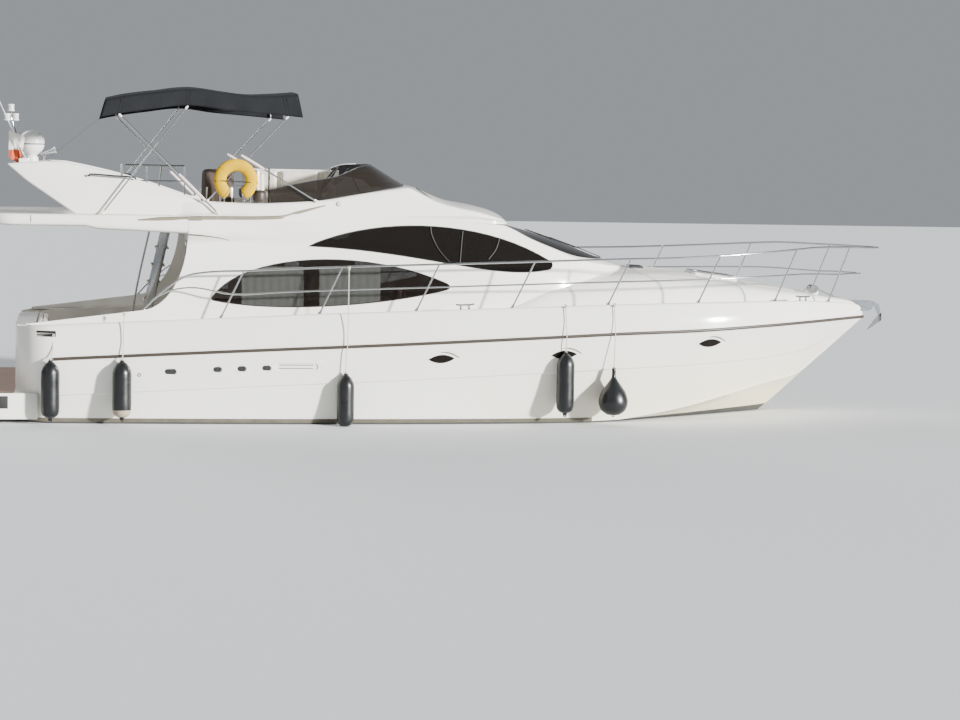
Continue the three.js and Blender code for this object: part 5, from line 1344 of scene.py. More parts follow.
def build_hull_fittings():
    """Drain fittings, grey lines painted as the knuckles' shade, eye-shaped ports with brown arcs painted as
    shadows under their lips, the vents' bars with black plates painted as shade in the small holes, and the
    vents' lips.
    """
    drain = [(0, -6), (26, -6), (26, 2), (20, 5), (13, 5), (12, -3), (0, -3)]
    drains = [turned(drain, on_topside(side)(-4398, 656, 0), (0, side, 0), 24) for _, side in SIDES]
    piece("drain_fittings", drains, STAINLESS)
    # A grey line along each knuckle, painted as the shade of the crease.
    creases = []
    for _, side in SIDES:
        line = []
        for x in steps(-5500, 5200, 90):
            chine, high = hull["chineZ"](x), hull["railZ"](x) - hull["chineZ"](x)
            z = chine + high * knuckle_share(high) - 2
            line.append((x, side * (topside(x, z) - 1.5), z))
        creases.append(tube(line, 3.5, 6))
    piece("knuckle_shade_lines", creases, SHADE_GREY_AND_WORKTOP)
    for name, side in SIDES:
        rims, panes, beads, lip_shadows = [], [], [], []
        for x, z in ((-450, 890), (1210, 950), (3300, 1090)):
            rims.append(laid(hull_eye(x + 12, z + 6, 225, 84), on_topside(side, 4), 7, 60))
            panes.append(laid(hull_eye(x, z, 168, 50), on_topside(side, 6), 6, 60))
            beads.append(tube(traced(on_topside(side, 5), hull_eye(x, z, 172, 53)), 4, 6, closed=True))
            # A brown arc painted as the shadow under the lip of each port's moulded recess.
            lip = [(x + 225 * t + 12, z + 6 + 84 * (1 - t * t) + 11 * t) for t in steps(-0.15, 1, 12)]
            swell = lambda share: 2 + 15 * share * (1.15 - share)
            lip_shadows.append(tube(traced(on_topside(side, 7), lip), swell, 8))
        piece(f"port_mouldings_{name}", rims, GELCOAT, angle=50)
        piece(f"port_panes_{name}", panes, SCREEN_GLASS)
        piece(f"port_beads_{name}", beads, GASKET)
        piece(f"port_lips_{name}", lip_shadows, SHADE_AND_SEAM_BROWN)
        *small, (fore_x0, fore_x1, fore_z, _) = VENTS
        # Black plates at the bottom of the small vent holes: painted shade for their dark insides.
        holes = [slot(x0 + 8, x1 - 8, z, half - 8) for x0, x1, z, half in small]
        hole_shades = [laid(hole, on_topside(side, -9), 4, 60) for hole in holes]
        wires = [[(x, fore_z + up) for x in steps(fore_x0 + 60, fore_x1 - 60, 8)] for up in (-24, 22)]
        bars = [tube(traced(on_topside(side, -3), wire), 4, 6) for wire in wires]
        piece(f"vent_mesh_{name}", [*hole_shades, *bars], BLACK)
        hoods = []
        for x0, x1, z, _ in small[1:]:
            edge = [(x0 - 90, z - 26), (x0 - 8, z - 34), (x0 + 30, z - 44)]
            edge += [(x1 - 20, z - 44), (x1 + 6, z - 26), (x1 + 8, z + 30)]
            rim = traced(on_topside(side, 1), eased(edge, (), 5))
            hoods.append(tube(rim, lambda share: 2 + 4 * share, 8))
        arc = [(fore_x1 + along, fore_z + up) for along, up in ((6, 58), (54, 44), (70, 6), (58, -22))]
        hoods.append(tube(traced(on_topside(side, 0), eased(arc, (), 5)), 4, 8))
        piece(f"vent_lips_{name}", hoods, GELCOAT)


def cleat(x, side):
    """A horned cleat on the gunwale."""
    def spot(along, up):
        return x + along, side * (gunwale_y(x + along) - 58), deck["gunwale"](x + along) + up

    bar = bent([spot(-124, 64), spot(-62, 58), spot(62, 58), spot(124, 64)], 12, 12, 4)
    foot = [(0, -8), (26, -8), (25, 2), (14, 12), (12, 58), (0, 58)]
    return together(bar, *[turned(foot, spot(along, 0), sides=16) for along in (-55, 55)])


def build_deck_fittings():
    """Cleats, slots with their bars, windlass and chain, non-skid panels, and the coachroof's low vent."""
    metal = [cleat(x, side) for x in (-135, 4830) for _, side in SIDES]
    metal += [tube([(-5737, side * 1738, 1174), (-5458, side * 1775, 1174)], 12, 16) for _, side in SIDES]
    piece("cleats", metal, STAINLESS)
    # Black plates on the back walls of the quarter slots: painted shade for their dark insides.
    slot_shades = [block(-5722, -5473, *sorted((1691 * side, 1696 * side)), 1138, 1210) for _, side in SIDES]
    piece("slot_shade_plates", slot_shades, BLACK)
    case = block(5120, 5310, -68, 68, 1640, 1750, 22, 4)
    drum = [(0, -105), (58, -105), (58, -96), (40, -84), (40, -66), (52, -50), (30, -30), (30, 30), (52, 50),
            (40, 66), (40, 84), (58, 96), (58, 105), (0, 105)]
    piece("windlass_case", case, GELCOAT)
    piece("windlass_drum", turned(drum, (5235, 0, 1750), (0, 1, 0), 32), STAINLESS)
    links = []
    for i, x in enumerate(steps(5300, 5700, 16)):
        z = 1752 + (1596 - 1752) * (x - 5300) / 400 - 10 * math.sin(math.pi * (x - 5300) / 400)
        turn = (i % 2) * math.pi / 2
        ring = [(x + 17 * u, 9 * v * math.cos(turn), z + 9 * v * math.sin(turn)) for u, v in circle(1, 12)]
        links.append(tube(ring, 4, 6, closed=True))
    piece("anchor_chain", links, GALVANISED)
    pads = []
    for _, side in SIDES:
        lane = [(x, side * (gunwale_y(x) - 125)) for x in steps(-3300, 1500, 16)]
        for x in steps(1500, -3300, 16):
            lane.append((x, side * max(house["foot"](x) + 40 if x < 900 else 0, deck["inner"](x) + 25)))
        pads.append(lane)
        pads.append([(2480, side * 60), (3330, side * 60), (3330, side * 700), (2480, side * 980)])
        pads.append([(4100, side * 30), (4900, side * 30), (4900, side * 260), (4100, side * 520)])
    on_deck = lambda lift: lambda x, y, out: (x, y, deck_z(x, y) + lift + out)
    piece("nonskid_panels", [laid(pad, on_deck(2.5), 4, 120) for pad in pads], NONSKID)
    hood = laid(rect(2440, 2640, -420, -180), on_deck(30), 34, 60)
    piece("coachroof_vent", soften(hood, 8), BLACK)


def build_rails():
    """Guard rails with leaning stanchions, and the pulpit round the bow."""
    tail = {
        1: [(-4340, 1664, 1496), (-4225, 1722, 1617), (-4068, 1785, 1758), (-3911, 1830, 1880),
            (-3740, 1858, 1962), (-3420, 1880, 2006)],
        0.5: [(-4185, 1738, 1655), (-3990, 1800, 1752), (-3674, 1850, 1790)],
    }
    for name, side in SIDES:
        tubes = []
        for share, radius in ((1, 14), (0.5, 11)):
            after = [(x, side * y, z) for x, y, z in tail[share]]
            along = [rail_at(x, share, side) for x in steps(-3350, 3094, 10)]
            tubes.append(bent([*after, *along], radius, 14, 4))
        foot = [(0, -6), (34, -6), (32, 4), (16, 12), (0, 12)]
        tubes.append(turned(foot, (-4344, side * 1660, 1490), sides=20))
        for x in (-3350, -2061, -782, 505, 1822):
            tubes.append(stanchion(x, side))
        node = f"guard_rail_{name}"
        piece(f"guard_rail_tubes_{name}", tubes, STAINLESS, stands_for=[node], slot="stainless")
    tubes = []
    for share, radius in ((1, 14), (0.5, 11)):
        port = [rail_at(x, share, 1) for x in (*steps(3118, 4700, 5), 5326)]
        port += [(5430 + 500 * share, 300, 1612 + 750 * share), (5686 + 514 * share, 0, 1606 + 746 * share)]
        stbd = [(x, -y, z) for x, y, z in reversed(port[:-1])]
        tubes.append(bent([*port, *stbd], radius, 14, 4))
    tubes += [stanchion(x, side) for x in (3120, 4335, 5326) for _, side in SIDES]
    piece("pulpit_tubes", tubes, STAINLESS, stands_for=["pulpit"], slot="stainless")


def rail_at(x, share, side=-1):
    """A point on a rail: share of the way up the stanchion whose foot is at x."""
    rise = 160 * min(1, max(0, (x - 2400) / 2600)) ** 1.6
    y = gunwale_y(x) - 68 - 18 * share
    return x + 300 * share, side * y, deck["gunwale"](x) + (614 + rise) * share


def stanchion(x, side):
    foot, head = Vector(rail_at(x, 0, side)), Vector(rail_at(x, 1, side))
    ahead = (head - foot).normalized()
    base = turned([(0, -14), (32, -4), (33, 3), (18, 12), (15, 46), (0, 46)], foot, ahead, 20)
    ball = [(0, -15), (12, -13), (16, -6), (16, 6), (12, 13), (0, 15)]
    joint = turned(ball, foot.lerp(head, 0.5), ahead, 16)
    return together(tube([foot, head], 11, 14), base, joint)


# The bimini: canopy ends, tops and hems, hoops and legs
BIMINI = table(
    "x top hem",
    (-4915, 4225, 3985),
    (-4680, 4275, 4035),
    (-4300, 4330, 4095),
    (-3780, 4385, 4160),
    (-3300, 4345, 4110),
    (-2900, 4310, 4080),
    (-2500, 4325, 4050),
    (-2270, 4345, 4030),
)
bimini = columns(BIMINI)
HOOPS_X, HOOP_HALF = (-4671, -3788, -2470), 1522
LEGS = (
    ((-3377, 1640, 2750), (-4671, HOOP_HALF, 4024)),
    ((-4887, 1640, 2738), (-3788, HOOP_HALF, 4150)),
    ((-3536, 1568, 2906), (-2470, HOOP_HALF, 4042)),
    ((-2072, 1503, 2930), (-3003, 1546, 3474)),
)


def canopy_ring(x, lift=0.0):
    """The canopy from hem to hem at x. Its ends slant, and it sags a little between hoops."""
    top, hem = bimini["top"](x), bimini["hem"](x)
    slack = min(abs(x - hoop) for hoop in HOOPS_X) / 600
    sag = 10 * min(1, slack) ** 2
    line = [(1560 + lift, hem), (1554 + lift, top - 60), (1520 + lift, top - 16 + lift), (1430, top + lift)]
    line += [(780, top + 34 - sag + lift), (0, top + 45 - sag + lift)]
    ring = []
    for y, z in eased(line, {0}):
        up = (z - hem) / (top + 45 - hem)
        billow = 5 * math.sin(x / 61) * (1 - up) * (z < top - 60)
        ring.append((x - 80 * up * (x + 3592) / 1322, y + billow - 5 * (z < top - 60), z))
    return both_halves(ring)


def build_bimini():
    """Acrylic canopy in one sheet over three hoops, with valances, sewn seams and braced legs."""
    canopy = open_skin([canopy_ring(x, -1) for x in steps(-4912, -2273, 88)])
    node = "bimini_canopy"
    sheet = piece("bimini_cloth", canopy, CHARCOAL_CANVAS, angle=60, stands_for=[node], slot="canvas")
    cloth = sheet.modifiers.new("cloth thickness", "SOLIDIFY")
    cloth.thickness = 0.003
    cloth.offset = -1.0
    seams = []
    for x in (*[hoop + beside for hoop in HOOPS_X for beside in (-22, 22)], -4900, -2286):
        ridge = [canopy_ring(x + along, lift) for along, lift in ((-4, -1), (0, -0.1), (4, -1))]
        seams.append(open_skin(ridge))
    piece("bimini_seams", seams, SEAM_TAPE)
    tubes = []
    for x in HOOPS_X:
        top, hem = bimini["top"](x) - 32, bimini["hem"](x) - 10
        half = [(HOOP_HALF, hem), (1518, top - 90), (1452, top - 18), (761, top + 12), (0, top + 24)]
        tubes.append(bent(both_halves([(x, y, z) for y, z in half]), 11, 14))
    fixings, sleeves = [], []
    for _, side in SIDES:
        for i, (foot, head) in enumerate(LEGS):
            foot, head = [Vector((x, side * y, z)) for x, y, z in (foot, head)]
            tubes.append(tube([foot, head], 11, 14))
            ahead = (head - foot).normalized()
            for end, along in ((foot, ahead), (head, -ahead)):
                fixings.append(turned([(0, -10), (15, -6), (16, 30), (12, 44), (0, 44)], end, along, 16))
            if i in (0, 3):
                low, high = ((0.135, 0.4), (0.757, 1.086))[i == 3]
                sleeve = [foot.lerp(head, share) for share in steps(low, high, 8)]
                sleeves.append(tube(sleeve, lambda share: 21 - 5 * abs(2 * share - 1) ** 3, 16))
    piece("bimini_tubes", tubes, STAINLESS, stands_for=["bimini_frame"], slot="stainless")
    piece("bimini_hinges", fixings, PLASTIC)
    piece("bimini_sleeves", sleeves, SLEEVE_PVC)


def build_deflector():
    """Tinted screen round the fore end of the flybridge, with its edge rail, struts and foot."""
    path = [
        ((-2690, 1500, 2902), (-2700, 1492, 3075)),
        ((-2150, 1452, 2922), (-2170, 1432, 3190)),
        ((-1750, 1405, 2990), (-1800, 1372, 3262)),
        ((-1360, 1352, 3052), (-1520, 1285, 3380)),
        ((-1060, 1230, 3112), (-1390, 1115, 3408)),
        ((-870, 900, 3144), (-1290, 820, 3416)),
        ((-800, 450, 3152), (-1235, 410, 3422)),
        ((-785, 0, 3154), (-1215, 0, 3424)),
    ]
    foot, head = [eased(both_halves(edge)) for edge in zip(*path)]
    rings = []
    for i, (u, w) in enumerate(zip(foot, head)):
        along = foot[min(i + 1, len(foot) - 1)] - foot[max(i - 1, 0)]
        out = along.cross(w - u).normalized() * 8
        rings.append([u, w, w + out, u + out])
    piece("deflector_screen", skin(rings), DEFLECTOR_BROWN, stands_for=["deflector"], slot="smoked_glass")
    rim = tube([w + Vector((0, 0, 1)) for w in head], 7, 10)
    piece("deflector_edge", rim, STAINLESS)
    piece("deflector_seal", tube([u + Vector((0, 0, 3)) for u in foot], 10, 8), GASKET)
    struts = []
    for _, side in SIDES:
        low, high = (-1478, side * 1310, 3050), (-1620, side * 1285, 3325)
        struts.append(tube([low, high], 9, 12))
        struts.append(turned([(0, 0), (18, 0), (18, 6), (9, 12), (0, 12)], low, sides=16))
    piece("deflector_struts", struts, STAINLESS)
    posts = [tube([(-2706, y, 2900), (-2706, y, 3360)], 13, 12) for y in (-1450, 1450)]
    piece("deflector_posts", posts, RAIL_BROWN)
    rods = [tube([(-393, y, 2914), (-710, y, 3124)], 8, 12) for y in (-1200, 1200)]
    pod = eased([(0, 0), (62, 0), (82, 34), (86, 84), (80, 130), (52, 158), (0, 166)], {0, 1}, 4)
    caps = [turned([tuple(p) for p in pod], (-2834, y, 2904), sides=28) for y in (-1500, 1500)]
    piece("brow_rods", rods, BLACK)
    piece("speaker_pods", caps, RAIL_BROWN)


def build_helm():
    """Flybridge console with its sloping dash and dials, the throttles and the wheel."""
    side = [(-1780, ON_FLYBRIDGE), (-1250, ON_FLYBRIDGE), (-1250, 3080), (-1420, 3225), (-1640, 3262),
            (-1790, 3130)]
    console = soften(prism(side, "y", -1080, 60), 26, 4, 0.3)
    piece("console_moulding", console, GELCOAT, stands_for=["fly_console"], slot="gelcoat")
    slope = Vector((-150, 0, -132)).normalized()
    face = Vector((-0.661, 0, 0.75))
    middle = Vector((-1712, 0, 3199))

    def on_dash(y, down, out=0.0):
        return middle + Vector((0, y, 0)) + slope * down + face * out

    panel = rect(-1010, -110, -70, 70)
    plate = skin([[on_dash(y, down, out) for y, down in panel] for out in (3, 6)])
    piece("dash_panel", plate, BLACK)
    rims, dials = [], []
    for y in (-930, -810, -690, -430, -310, -190):
        at = on_dash(y, -20, 6)
        rims.append(turned([(0, 0), (40, 0), (42, 6), (36, 9), (34, 6), (0, 6)], at, face, 24))
        dials.append(turned([(0, 6), (34, 6), (34, 7), (0, 7)], at, face, 24))
    piece("dial_rims", rims, STAINLESS)
    piece("dial_faces", dials, PLASTIC)
    levers = [tube([(-1560, y, 3245), (-1560, y, 3300), (-1520, y, 3345)], 8, 10) for y in (-180, -140)]
    knob = [(0, -16), (14, -12), (17, 0), (14, 12), (0, 16)]
    knobs = [turned(knob, (-1520, y, 3345), sides=16) for y in (-180, -140)]
    piece("throttle_box", block(-1620, -1500, -215, -105, 3225, 3262, 10), BLACK)
    piece("throttle_levers", levers, STAINLESS)
    piece("throttle_knobs", knobs, BLACK)
    rake = 0.62
    lie = Matrix.Translation(place(-1815, -560, 3235)) @ Matrix.Rotation(rake - math.pi / 2, 4, "Y")
    rim = torus((0, 0, 0), (0, 0, 1), 190, 13, 48, 14)
    arms = []
    for i in range(3):
        a = 2 * math.pi * i / 3 + math.pi / 2
        spoke = ((20, -12), (90, -8), (186, -2))
        arms.append(tube([(r * math.cos(a), r * math.sin(a), z) for r, z in spoke], 9, 12))
    arms.append(turned([(0, -37), (34, -37), (34, -2), (28, 6), (0, 9)], (0, 0, 0), sides=28))
    wheel = "fly_wheel"
    piece("wheel_rim", moved(rim, lie), BLACK, body=wheel, stands_for=[wheel], slot="wheel_rubber")
    piece("wheel_spokes", moved(together(*arms), lie), STAINLESS, body=wheel)


def build_stairs():
    """Teak-topped stairs up through the hatchway, their handrail, and the guard round the opening."""
    treads, tops = [], []
    foot, head = (-4360, ON_SOLE), (-3930, 2690)
    for i in range(1, 8):
        x, z = [a + (b - a) * i / 8 for a, b in zip(foot, head)]
        treads.append(block(x - 95, x + 95, 510, 1090, z - 16, z + 11, 8))
        tops.append(block(x - 85, x + 85, 530, 1070, z + 11, z + 16, 2, 1))
    stringers = []
    for y in (520, 1080):
        ends = [[(u, v, z) for u, v in rect(x - 60, x + 60, y - 14, y + 14)] for x, z in (foot, head)]
        stringers.append(soften(skin(ends), 6))
    piece("stair_treads", treads, GELCOAT)
    piece("stair_stringers", stringers, STAINLESS, stands_for=["fly_stairs"], slot="stainless")
    piece("stair_tread_tops", tops, TEAK)
    high = 3350
    guard = ((-3740, 410), (-4260, 410), (-4540, 410), (-4600, 440), (-4600, 1070))
    tubes = [bent([(x, y, high) for x, y in guard], 14, 14)]
    tubes.append(tube([(-3740, 410, 3140), (-4598, 410, 3140)], 9, 12))
    for x, y in ((-3740, 410), (-4260, 410), (-4598, 438), (-4600, 1070)):
        tubes.append(tube([(x, y, 2721), (x, y, high)], 11, 12))
        tubes.append(turned([(0, 0), (32, 0), (31, 6), (14, 12), (0, 12)], (x, y, SLAB_TOP + 0.6), sides=20))
    handrail = [(-4364, 520, 940), (-4450, 520, 1250), (-4120, 520, 2900), (-4060, 460, 3300),
                (-4060, 410, 3345)]
    tubes.append(bent(handrail, 14, 14, 8))
    piece("stair_rails", tubes, STAINLESS)


# Fenders, as they hang: place, ends, radius, where the line is made fast, and whether teardrop
FENDERS = table(
    "x top bottom r lineX lineTop ball",
    (-5540, 842, 58, 118, -5500, 1150, False),
    (-4625, 850, 72, 122, -4600, 1452, False),
    (-1720, 695, -36, 112, -1690, 2080, False),
    (1223, 985, 140, 118, 1218, 1610, False),
    (1893, 770, 135, 198, 1893, 1625, True),
)


def build_fenders():
    """Fenders on their knotted lines: long ones with rounded ends, and a teardrop."""
    for i, (x, top, bottom, r, line_x, line_top, ball) in enumerate([f.values() for f in FENDERS]):
        name, high = f"fender_{i + 1}", top - bottom
        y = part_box(name)[0][1] * 1000 + r
        long = [(0, 0), (24, 0), (28, 12), (32, 30), (r * 0.6, 48), (r * 0.86, 78), (r, 136), (r, high / 2),
                (r, high - 176), (r * 0.93, high - 128), (r * 0.74, high - 78), (r * 0.48, high - 38),
                (30, high - 16), (24, high), (0, high)]
        drop = [(0, 0), (r * 0.45, r * 0.07), (r * 0.8, r * 0.34), (r * 0.98, r * 0.76), (r * 0.98, r * 1.12),
                (r * 0.82, r * 1.62), (r * 0.52, r * 2.05), (r * 0.24, r * 2.45), (28, r * 2.66),
                (28, high - 4), (22, high), (0, high)]
        profile = [tuple(p) for p in eased(drop if ball else long, {0, 1}, 3)]
        body = turned(profile, (x, y, bottom), sides=40)
        if i == 1:
            for face in body.faces:
                face.material_index = int(bottom + 52 < face.calc_center_median().z * 1000 < bottom + 150)
        vinyls = (FENDER_BLACK, FENDER_PALE)
        piece(f"{name}_body", body, *vinyls, stands_for=[name], slot="fender_rubber", angle=50)
        rail_y = beam(x) + 38
        rail_z = hull["railZ"](x)
        up_y = -rail_at(line_x - 250, 1)[1] + 20 if line_top > 1700 else gunwale_y(line_x) + 16
        route = [(x, y, top - 12), (x, min(y, -rail_y), max(top + 24, rail_z - 60)),
                 ((x + line_x) / 2, -rail_y, max(top + 60, rail_z + 40)),
                 (line_x, -max(up_y, gunwale_y(line_x) + 16), line_top)]
        eyes = [torus((x, y, z), (0, 1, 0), 15, 6) for z in (bottom - 2, top + 2)]
        knots = [torus((x, y, top + 12), (0.3, 0.2, 1), 11, 7), torus(route[3], (0.2, 1, 0.3), 15, 7)]
        knots.append(torus((line_x, route[3][1], line_top - 22), (0.3, 0.3, 1), 12, 7))
        piece(f"{name}_line", together(bent(route, 6, 10, 10), *knots), ROPE)
        piece(f"{name}_eyes", eyes, FENDER_BLACK)


def torus(at, axis, big, small, turns=20, sides=8):
    """A ring of round section about an axis."""
    turn = Vector((0, 0, 1)).rotation_difference(Vector(axis))
    ring = [Vector(at) + turn @ Vector((u, v, 0)) for u, v in circle(big, turns)]
    return tube(ring, small, sides, closed=True)


def build_lifebuoy():
    """Horseshoe lifebuoy on its stainless rack, with webbing round it."""
    x, y, z = -3157, -1650, 3190
    big, small = 205, 81
    turns = [math.radians(a) for a in steps(-62, 242, 40)]
    path = [(x + big * math.cos(a), y, z + big * math.sin(a)) for a in turns]

    def thick(share):
        end = min(share, 1 - share)
        return small * min(1, 0.55 + 0.45 * math.sqrt(min(1, end / 0.05)))

    at = Matrix.Translation(place(x, y, z))
    flatten = at @ Matrix.Diagonal((1, 0.62, 1, 1)) @ at.inverted()
    buoy = soften(moved(tube(path, thick, 24), flatten), 10, 3, 0.8)
    piece("buoy_cover", buoy, BUOY_YELLOW, stands_for=["horseshoe_buoy"], slot="buoy_yellow", angle=60)
    seams = []
    for share in (0.02, 0.34, 0.66, 0.98):
        a = turns[0] + (turns[-1] - turns[0]) * share
        ring = [(big + 82 * u, 51.5 * v) for u, v in circle(1, 24)]
        seam = [(x + r * math.cos(a), y + w, z + r * math.sin(a)) for r, w in ring]
        seams.append(tube(seam, 3, 6, closed=True))
    piece("buoy_seams", seams, BUOY_YELLOW)
    lace = ((-285, -30, -10), (-130, -56, -4), (0, -30, -12), (130, -56, -16), (290, -20, -26))
    piece("buoy_lace", bent([(x + a, y + b, z + c) for a, b, c in lace], 6, 8, 8), BLACK)
    leg = ((70, 2905), (62, 3040), (62, 3200))
    rack = [bent([(x + beside, y + back, high) for back, high in leg], 7, 10, 4) for beside in (-200, 200)]
    rack.append(tube([(x - 200, y + 62, 3120), (x + 200, y + 62, 3120)], 7, 10))
    piece("buoy_rack", rack, STAINLESS)


def build_stern():
    """Swim platform with its teak, the gate in the transom and the folding ladder."""
    fore, aft, half, corner = -5700, -7050, 1840, 420

    def plan(inset):
        """Outline of the platform, drawn in."""
        r = corner - inset
        quarter_turn = [(r * math.cos(a), r * math.sin(a)) for a in steps(-math.pi / 2, -math.pi, 12)]
        stbd = [(fore, inset - half), *[(aft + corner + x, corner - half + y) for x, y in quarter_turn]]
        return stbd + [(x, -y) for x, y in reversed(stbd)]

    stern = skin([whole_section(x, hull_half(x)) for x in STATIONS if x < -5400])
    base = carve(soften(prism(plan(0), "z", 60, 400), 14, 3, 0.9), stern)
    lugs = [soften(block(-7094, -6990, y - 12, y + 12, 340, 466), 6) for y in (-922, -518)]
    sills = [[side * (half + out) for out in (-2, 2)] for _, side in SIDES]
    recess = [block(-6300, -6080, *sorted(sill), 200, 365, 1) for sill in sills]
    piece("platform_recesses", recess, GASKET)
    piece("platform_moulding", together(base, *lugs), GELCOAT, stands_for=["swim_platform"], slot="gelcoat")
    teak = [(min(x, -6010), y) for x, y in plan(38)]
    piece("platform_teak", soften(prism(teak, "z", 398, 406), 2, 1, 0.9), TEAK)
    gate = block(-5930, -5890, 828, 1352, 752, 1225, 12)
    piece("gate_leaf", gate, GELCOAT, body="transom_gate", stands_for=["transom_gate"], slot="gelcoat")
    fittings = [block(-5936, -5929, 850, 890, 1120, 1180, 2)]
    fittings += [tube([(-5941, 862, 1150), (-5946, 900, 1150)], 6)]
    fittings += [tube([(-5934, 1349, z - 30), (-5934, 1349, z + 30)], 6, 12) for z in (850, 1130)]
    piece("gate_fittings", fittings, STAINLESS, body="transom_gate")
    ladder, x, z = "boarding_ladder", -7072, 444
    rails = [tube([(x, y, z), (x + 830, y, z)], 15, 14) for y in (-880, -560)]
    axle = tube([(x, -895, z), (x, -545, z)], 16, 16)
    piece("ladder_tubes", [*rails, axle], STAINLESS, body=ladder, stands_for=[ladder], slot="stainless")
    rungs = [block(x + d - 32, x + d + 32, -872, -568, z - 10, z + 11, 6) for d in (110, 330, 550, 770)]
    piece("ladder_rungs", rungs, TEAK, body=ladder)


def build_openings():
    """The sliding saloon door in its frame, and the foredeck hatch lid."""
    low, high = [Vector(c) * 1000 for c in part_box("saloon_door")]
    pane = block(low.x + 8, high.x - 8, low.y + 30, high.y - 30, low.z + 40, high.z - 40, 1, 1)
    frame_bars = [block(low.x, high.x, y, y + 45, low.z, high.z, 4) for y in (low.y, high.y - 45)]
    frame_bars += [block(low.x, high.x, low.y + 44, high.y - 44, z, z + 60, 4) for z in (low.z, high.z - 60)]
    piece("door_pane", pane, GLASS, body="saloon_door", stands_for=["saloon_door"], slot="smoked_glass")
    piece("door_frame", frame_bars, STAINLESS, body="saloon_door")
    lid = soften(block(-262, 262, -262, 262, 30, 42), 5, 2)
    border = carve(block(-290, 290, -290, 290, 28, 50, 10), block(-248, 248, -248, 248, 0, 80))
    hinge = together(*[tube([(286, y - 35, 40), (286, y + 35, 40)], 7, 12) for y in (-170, 170)])
    hatch, lie = "deck_hatch", hatch_lie()
    piece("hatch_pane", moved(lid, lie), GLASS, body=hatch, stands_for=[hatch], slot="smoked_glass")
    piece("hatch_border", moved(border, lie), STAINLESS, body=hatch)
    piece("hatch_hinges", moved(hinge, lie), STAINLESS, body=hatch)


def build_house_fittings():
    """Opening pane frames, curtains, wipers, side lamps, and along the flybridge's edge a painted step shade,
    a painted crease shade and a seam.
    """
    bars = []
    frames = (
        [(-536, 2611), (-520, 2504), (-422, 2304), (-284, 2145)],
        [(-97, 2560), (-145, 2120)],
        [(413, 2474), (361, 2325), (254, 2189)],
    )
    for _, side in SIDES:
        bars += [tube(traced(on_house(side, -2), eased(line)), 8, 8) for line in frames]
    piece("pane_frames", bars, GASKET)
    for name, side in SIDES:
        for part, x0, x1 in (("after", -3060, -2240), ("fore", -2030, -1215)):
            rings = []
            for x in steps(x0, x1, 68):
                wave = 2.2 * math.sin(x / 17) + 3 * math.sin(x / 150)
                rings.append([(x, side * (house_y(x, z) - 62 + wave), z) for z in steps(1470, 2062, 14)])
            cloth = piece(f"curtain_{part}_{name}", open_skin(rings), CURTAIN, angle=80)
    wipers = []
    for y, lean in ((-420, 0.5), (420, -0.5)):
        sweep = [(2010, y), (1700, y + 200 * lean), (1330, y + 420 * lean)]
        wipers.append(tube([(x, v, house_z(x, v) + 16) for x, v in sweep], 6, 8))
        blade = [(1640, y + 120 * lean - 20), (1330, y + 420 * lean), (1020, y + 700 * lean)]
        wipers.append(tube([(x, v, house_z(x, v) + 9) for x, v in blade], 6, 6))
    piece("wipers", wipers, BLACK)
    step_shades, edges, lamps = [], [], []
    for _, side in SIDES:
        line = [(-4430, 2660), (-4100, 2680), (-3620, 2696), (-2564, 2717), (-2315, 2782), (-1960, 2878)]
        line = eased(line, (), 8)
        # A grey strip painted as the shaded face of a moulded step, with a brown line over it painted as the
        # shadow under its lip.
        for low, high, made in ((-24, 14, step_shades), (14, 23, edges)):
            strip = []
            for i, (x, z) in enumerate(line):
                share = min(1, 0.35 + 4 * i / len(line), 0.25 + 3.2 * (1 - i / len(line)))
                y, deep = side * (overhang_y(x, z) + 0.5), side * 2.5
                z0, z1 = z + low * share, z + high * share
                strip.append([(x, y, z0), (x, y + deep, z0), (x, y + deep, z1), (x, y, z1)])
            made.append(skin(strip))
        # A brown line painted as the shade of a crease in the deckhouse side under the overhang.
        fold = eased([(-3764, 2478), (-3556, 2462), (-3360, 2434), (-3223, 2401)])
        edges.append(tube(traced(on_house(side, -1), fold), lambda share: 11 - 7 * share, 8))
        seam = [(-5795, z) for z in steps(2616, 2706, 6)]
        edges.append(tube([(x, side * overhang_y(x, z), z) for x, z in seam], 3, 6))
        at = (-1774, side * (coaming_y(-1774, 2900) - 2), 2900)
        lamps.append(turned([(0, 0), (34, 0), (34, 14), (26, 24), (0, 28)], at, (0, side, 0.1), 24))
    piece("coaming_step_shade", step_shades, SHADE_GREY_AND_WORKTOP)
    piece("coaming_shade_lines_and_seam", edges, SHADE_AND_SEAM_BROWN)
    piece("side_lamps", lamps, LENS)


def overhang_y(x, z):
    """Half breadth of the flybridge edge, of the overhang aft or the coaming forward."""
    if x > SLAB[-1]["x"]:
        outer = max(coaming_y(x, z), 0)
    elif z < SLAB_TOP:
        outer = breadth_at(slab_half(overhang["half"](x), overhang["bottom"](x)), z)
    else:
        return WING_OUT - WING_LEAN * (z - SLAB_TOP)
    return max(outer, house_y(x, z)) if x > -3771 and z < SLAB_TOP else outer


# Cushions
PADS = []
PAD_VOXEL = 0.02
PAD_MOMENTS = 20
PAD_CAP = 0.014  # the furthest that filling may move a point


def cushion(name, outline, z0, z1, channels=(), along=0, cloth=None):
    """A foam pad in sewn vinyl, set out a little under size. Its channels cross it at these places."""
    bm = prism(drawn_in(outline, 13), "z", z0 + 4, z1 - 13)
    soften(bm, min(30, (z1 - z0) * 0.3), 3, 0.4)
    pad = piece(name, bm, cloth or VINYL, slot="vinyl", angle=80)
    PADS.append((pad, drawn_in(outline, 6), z1 - 26, channels, along))


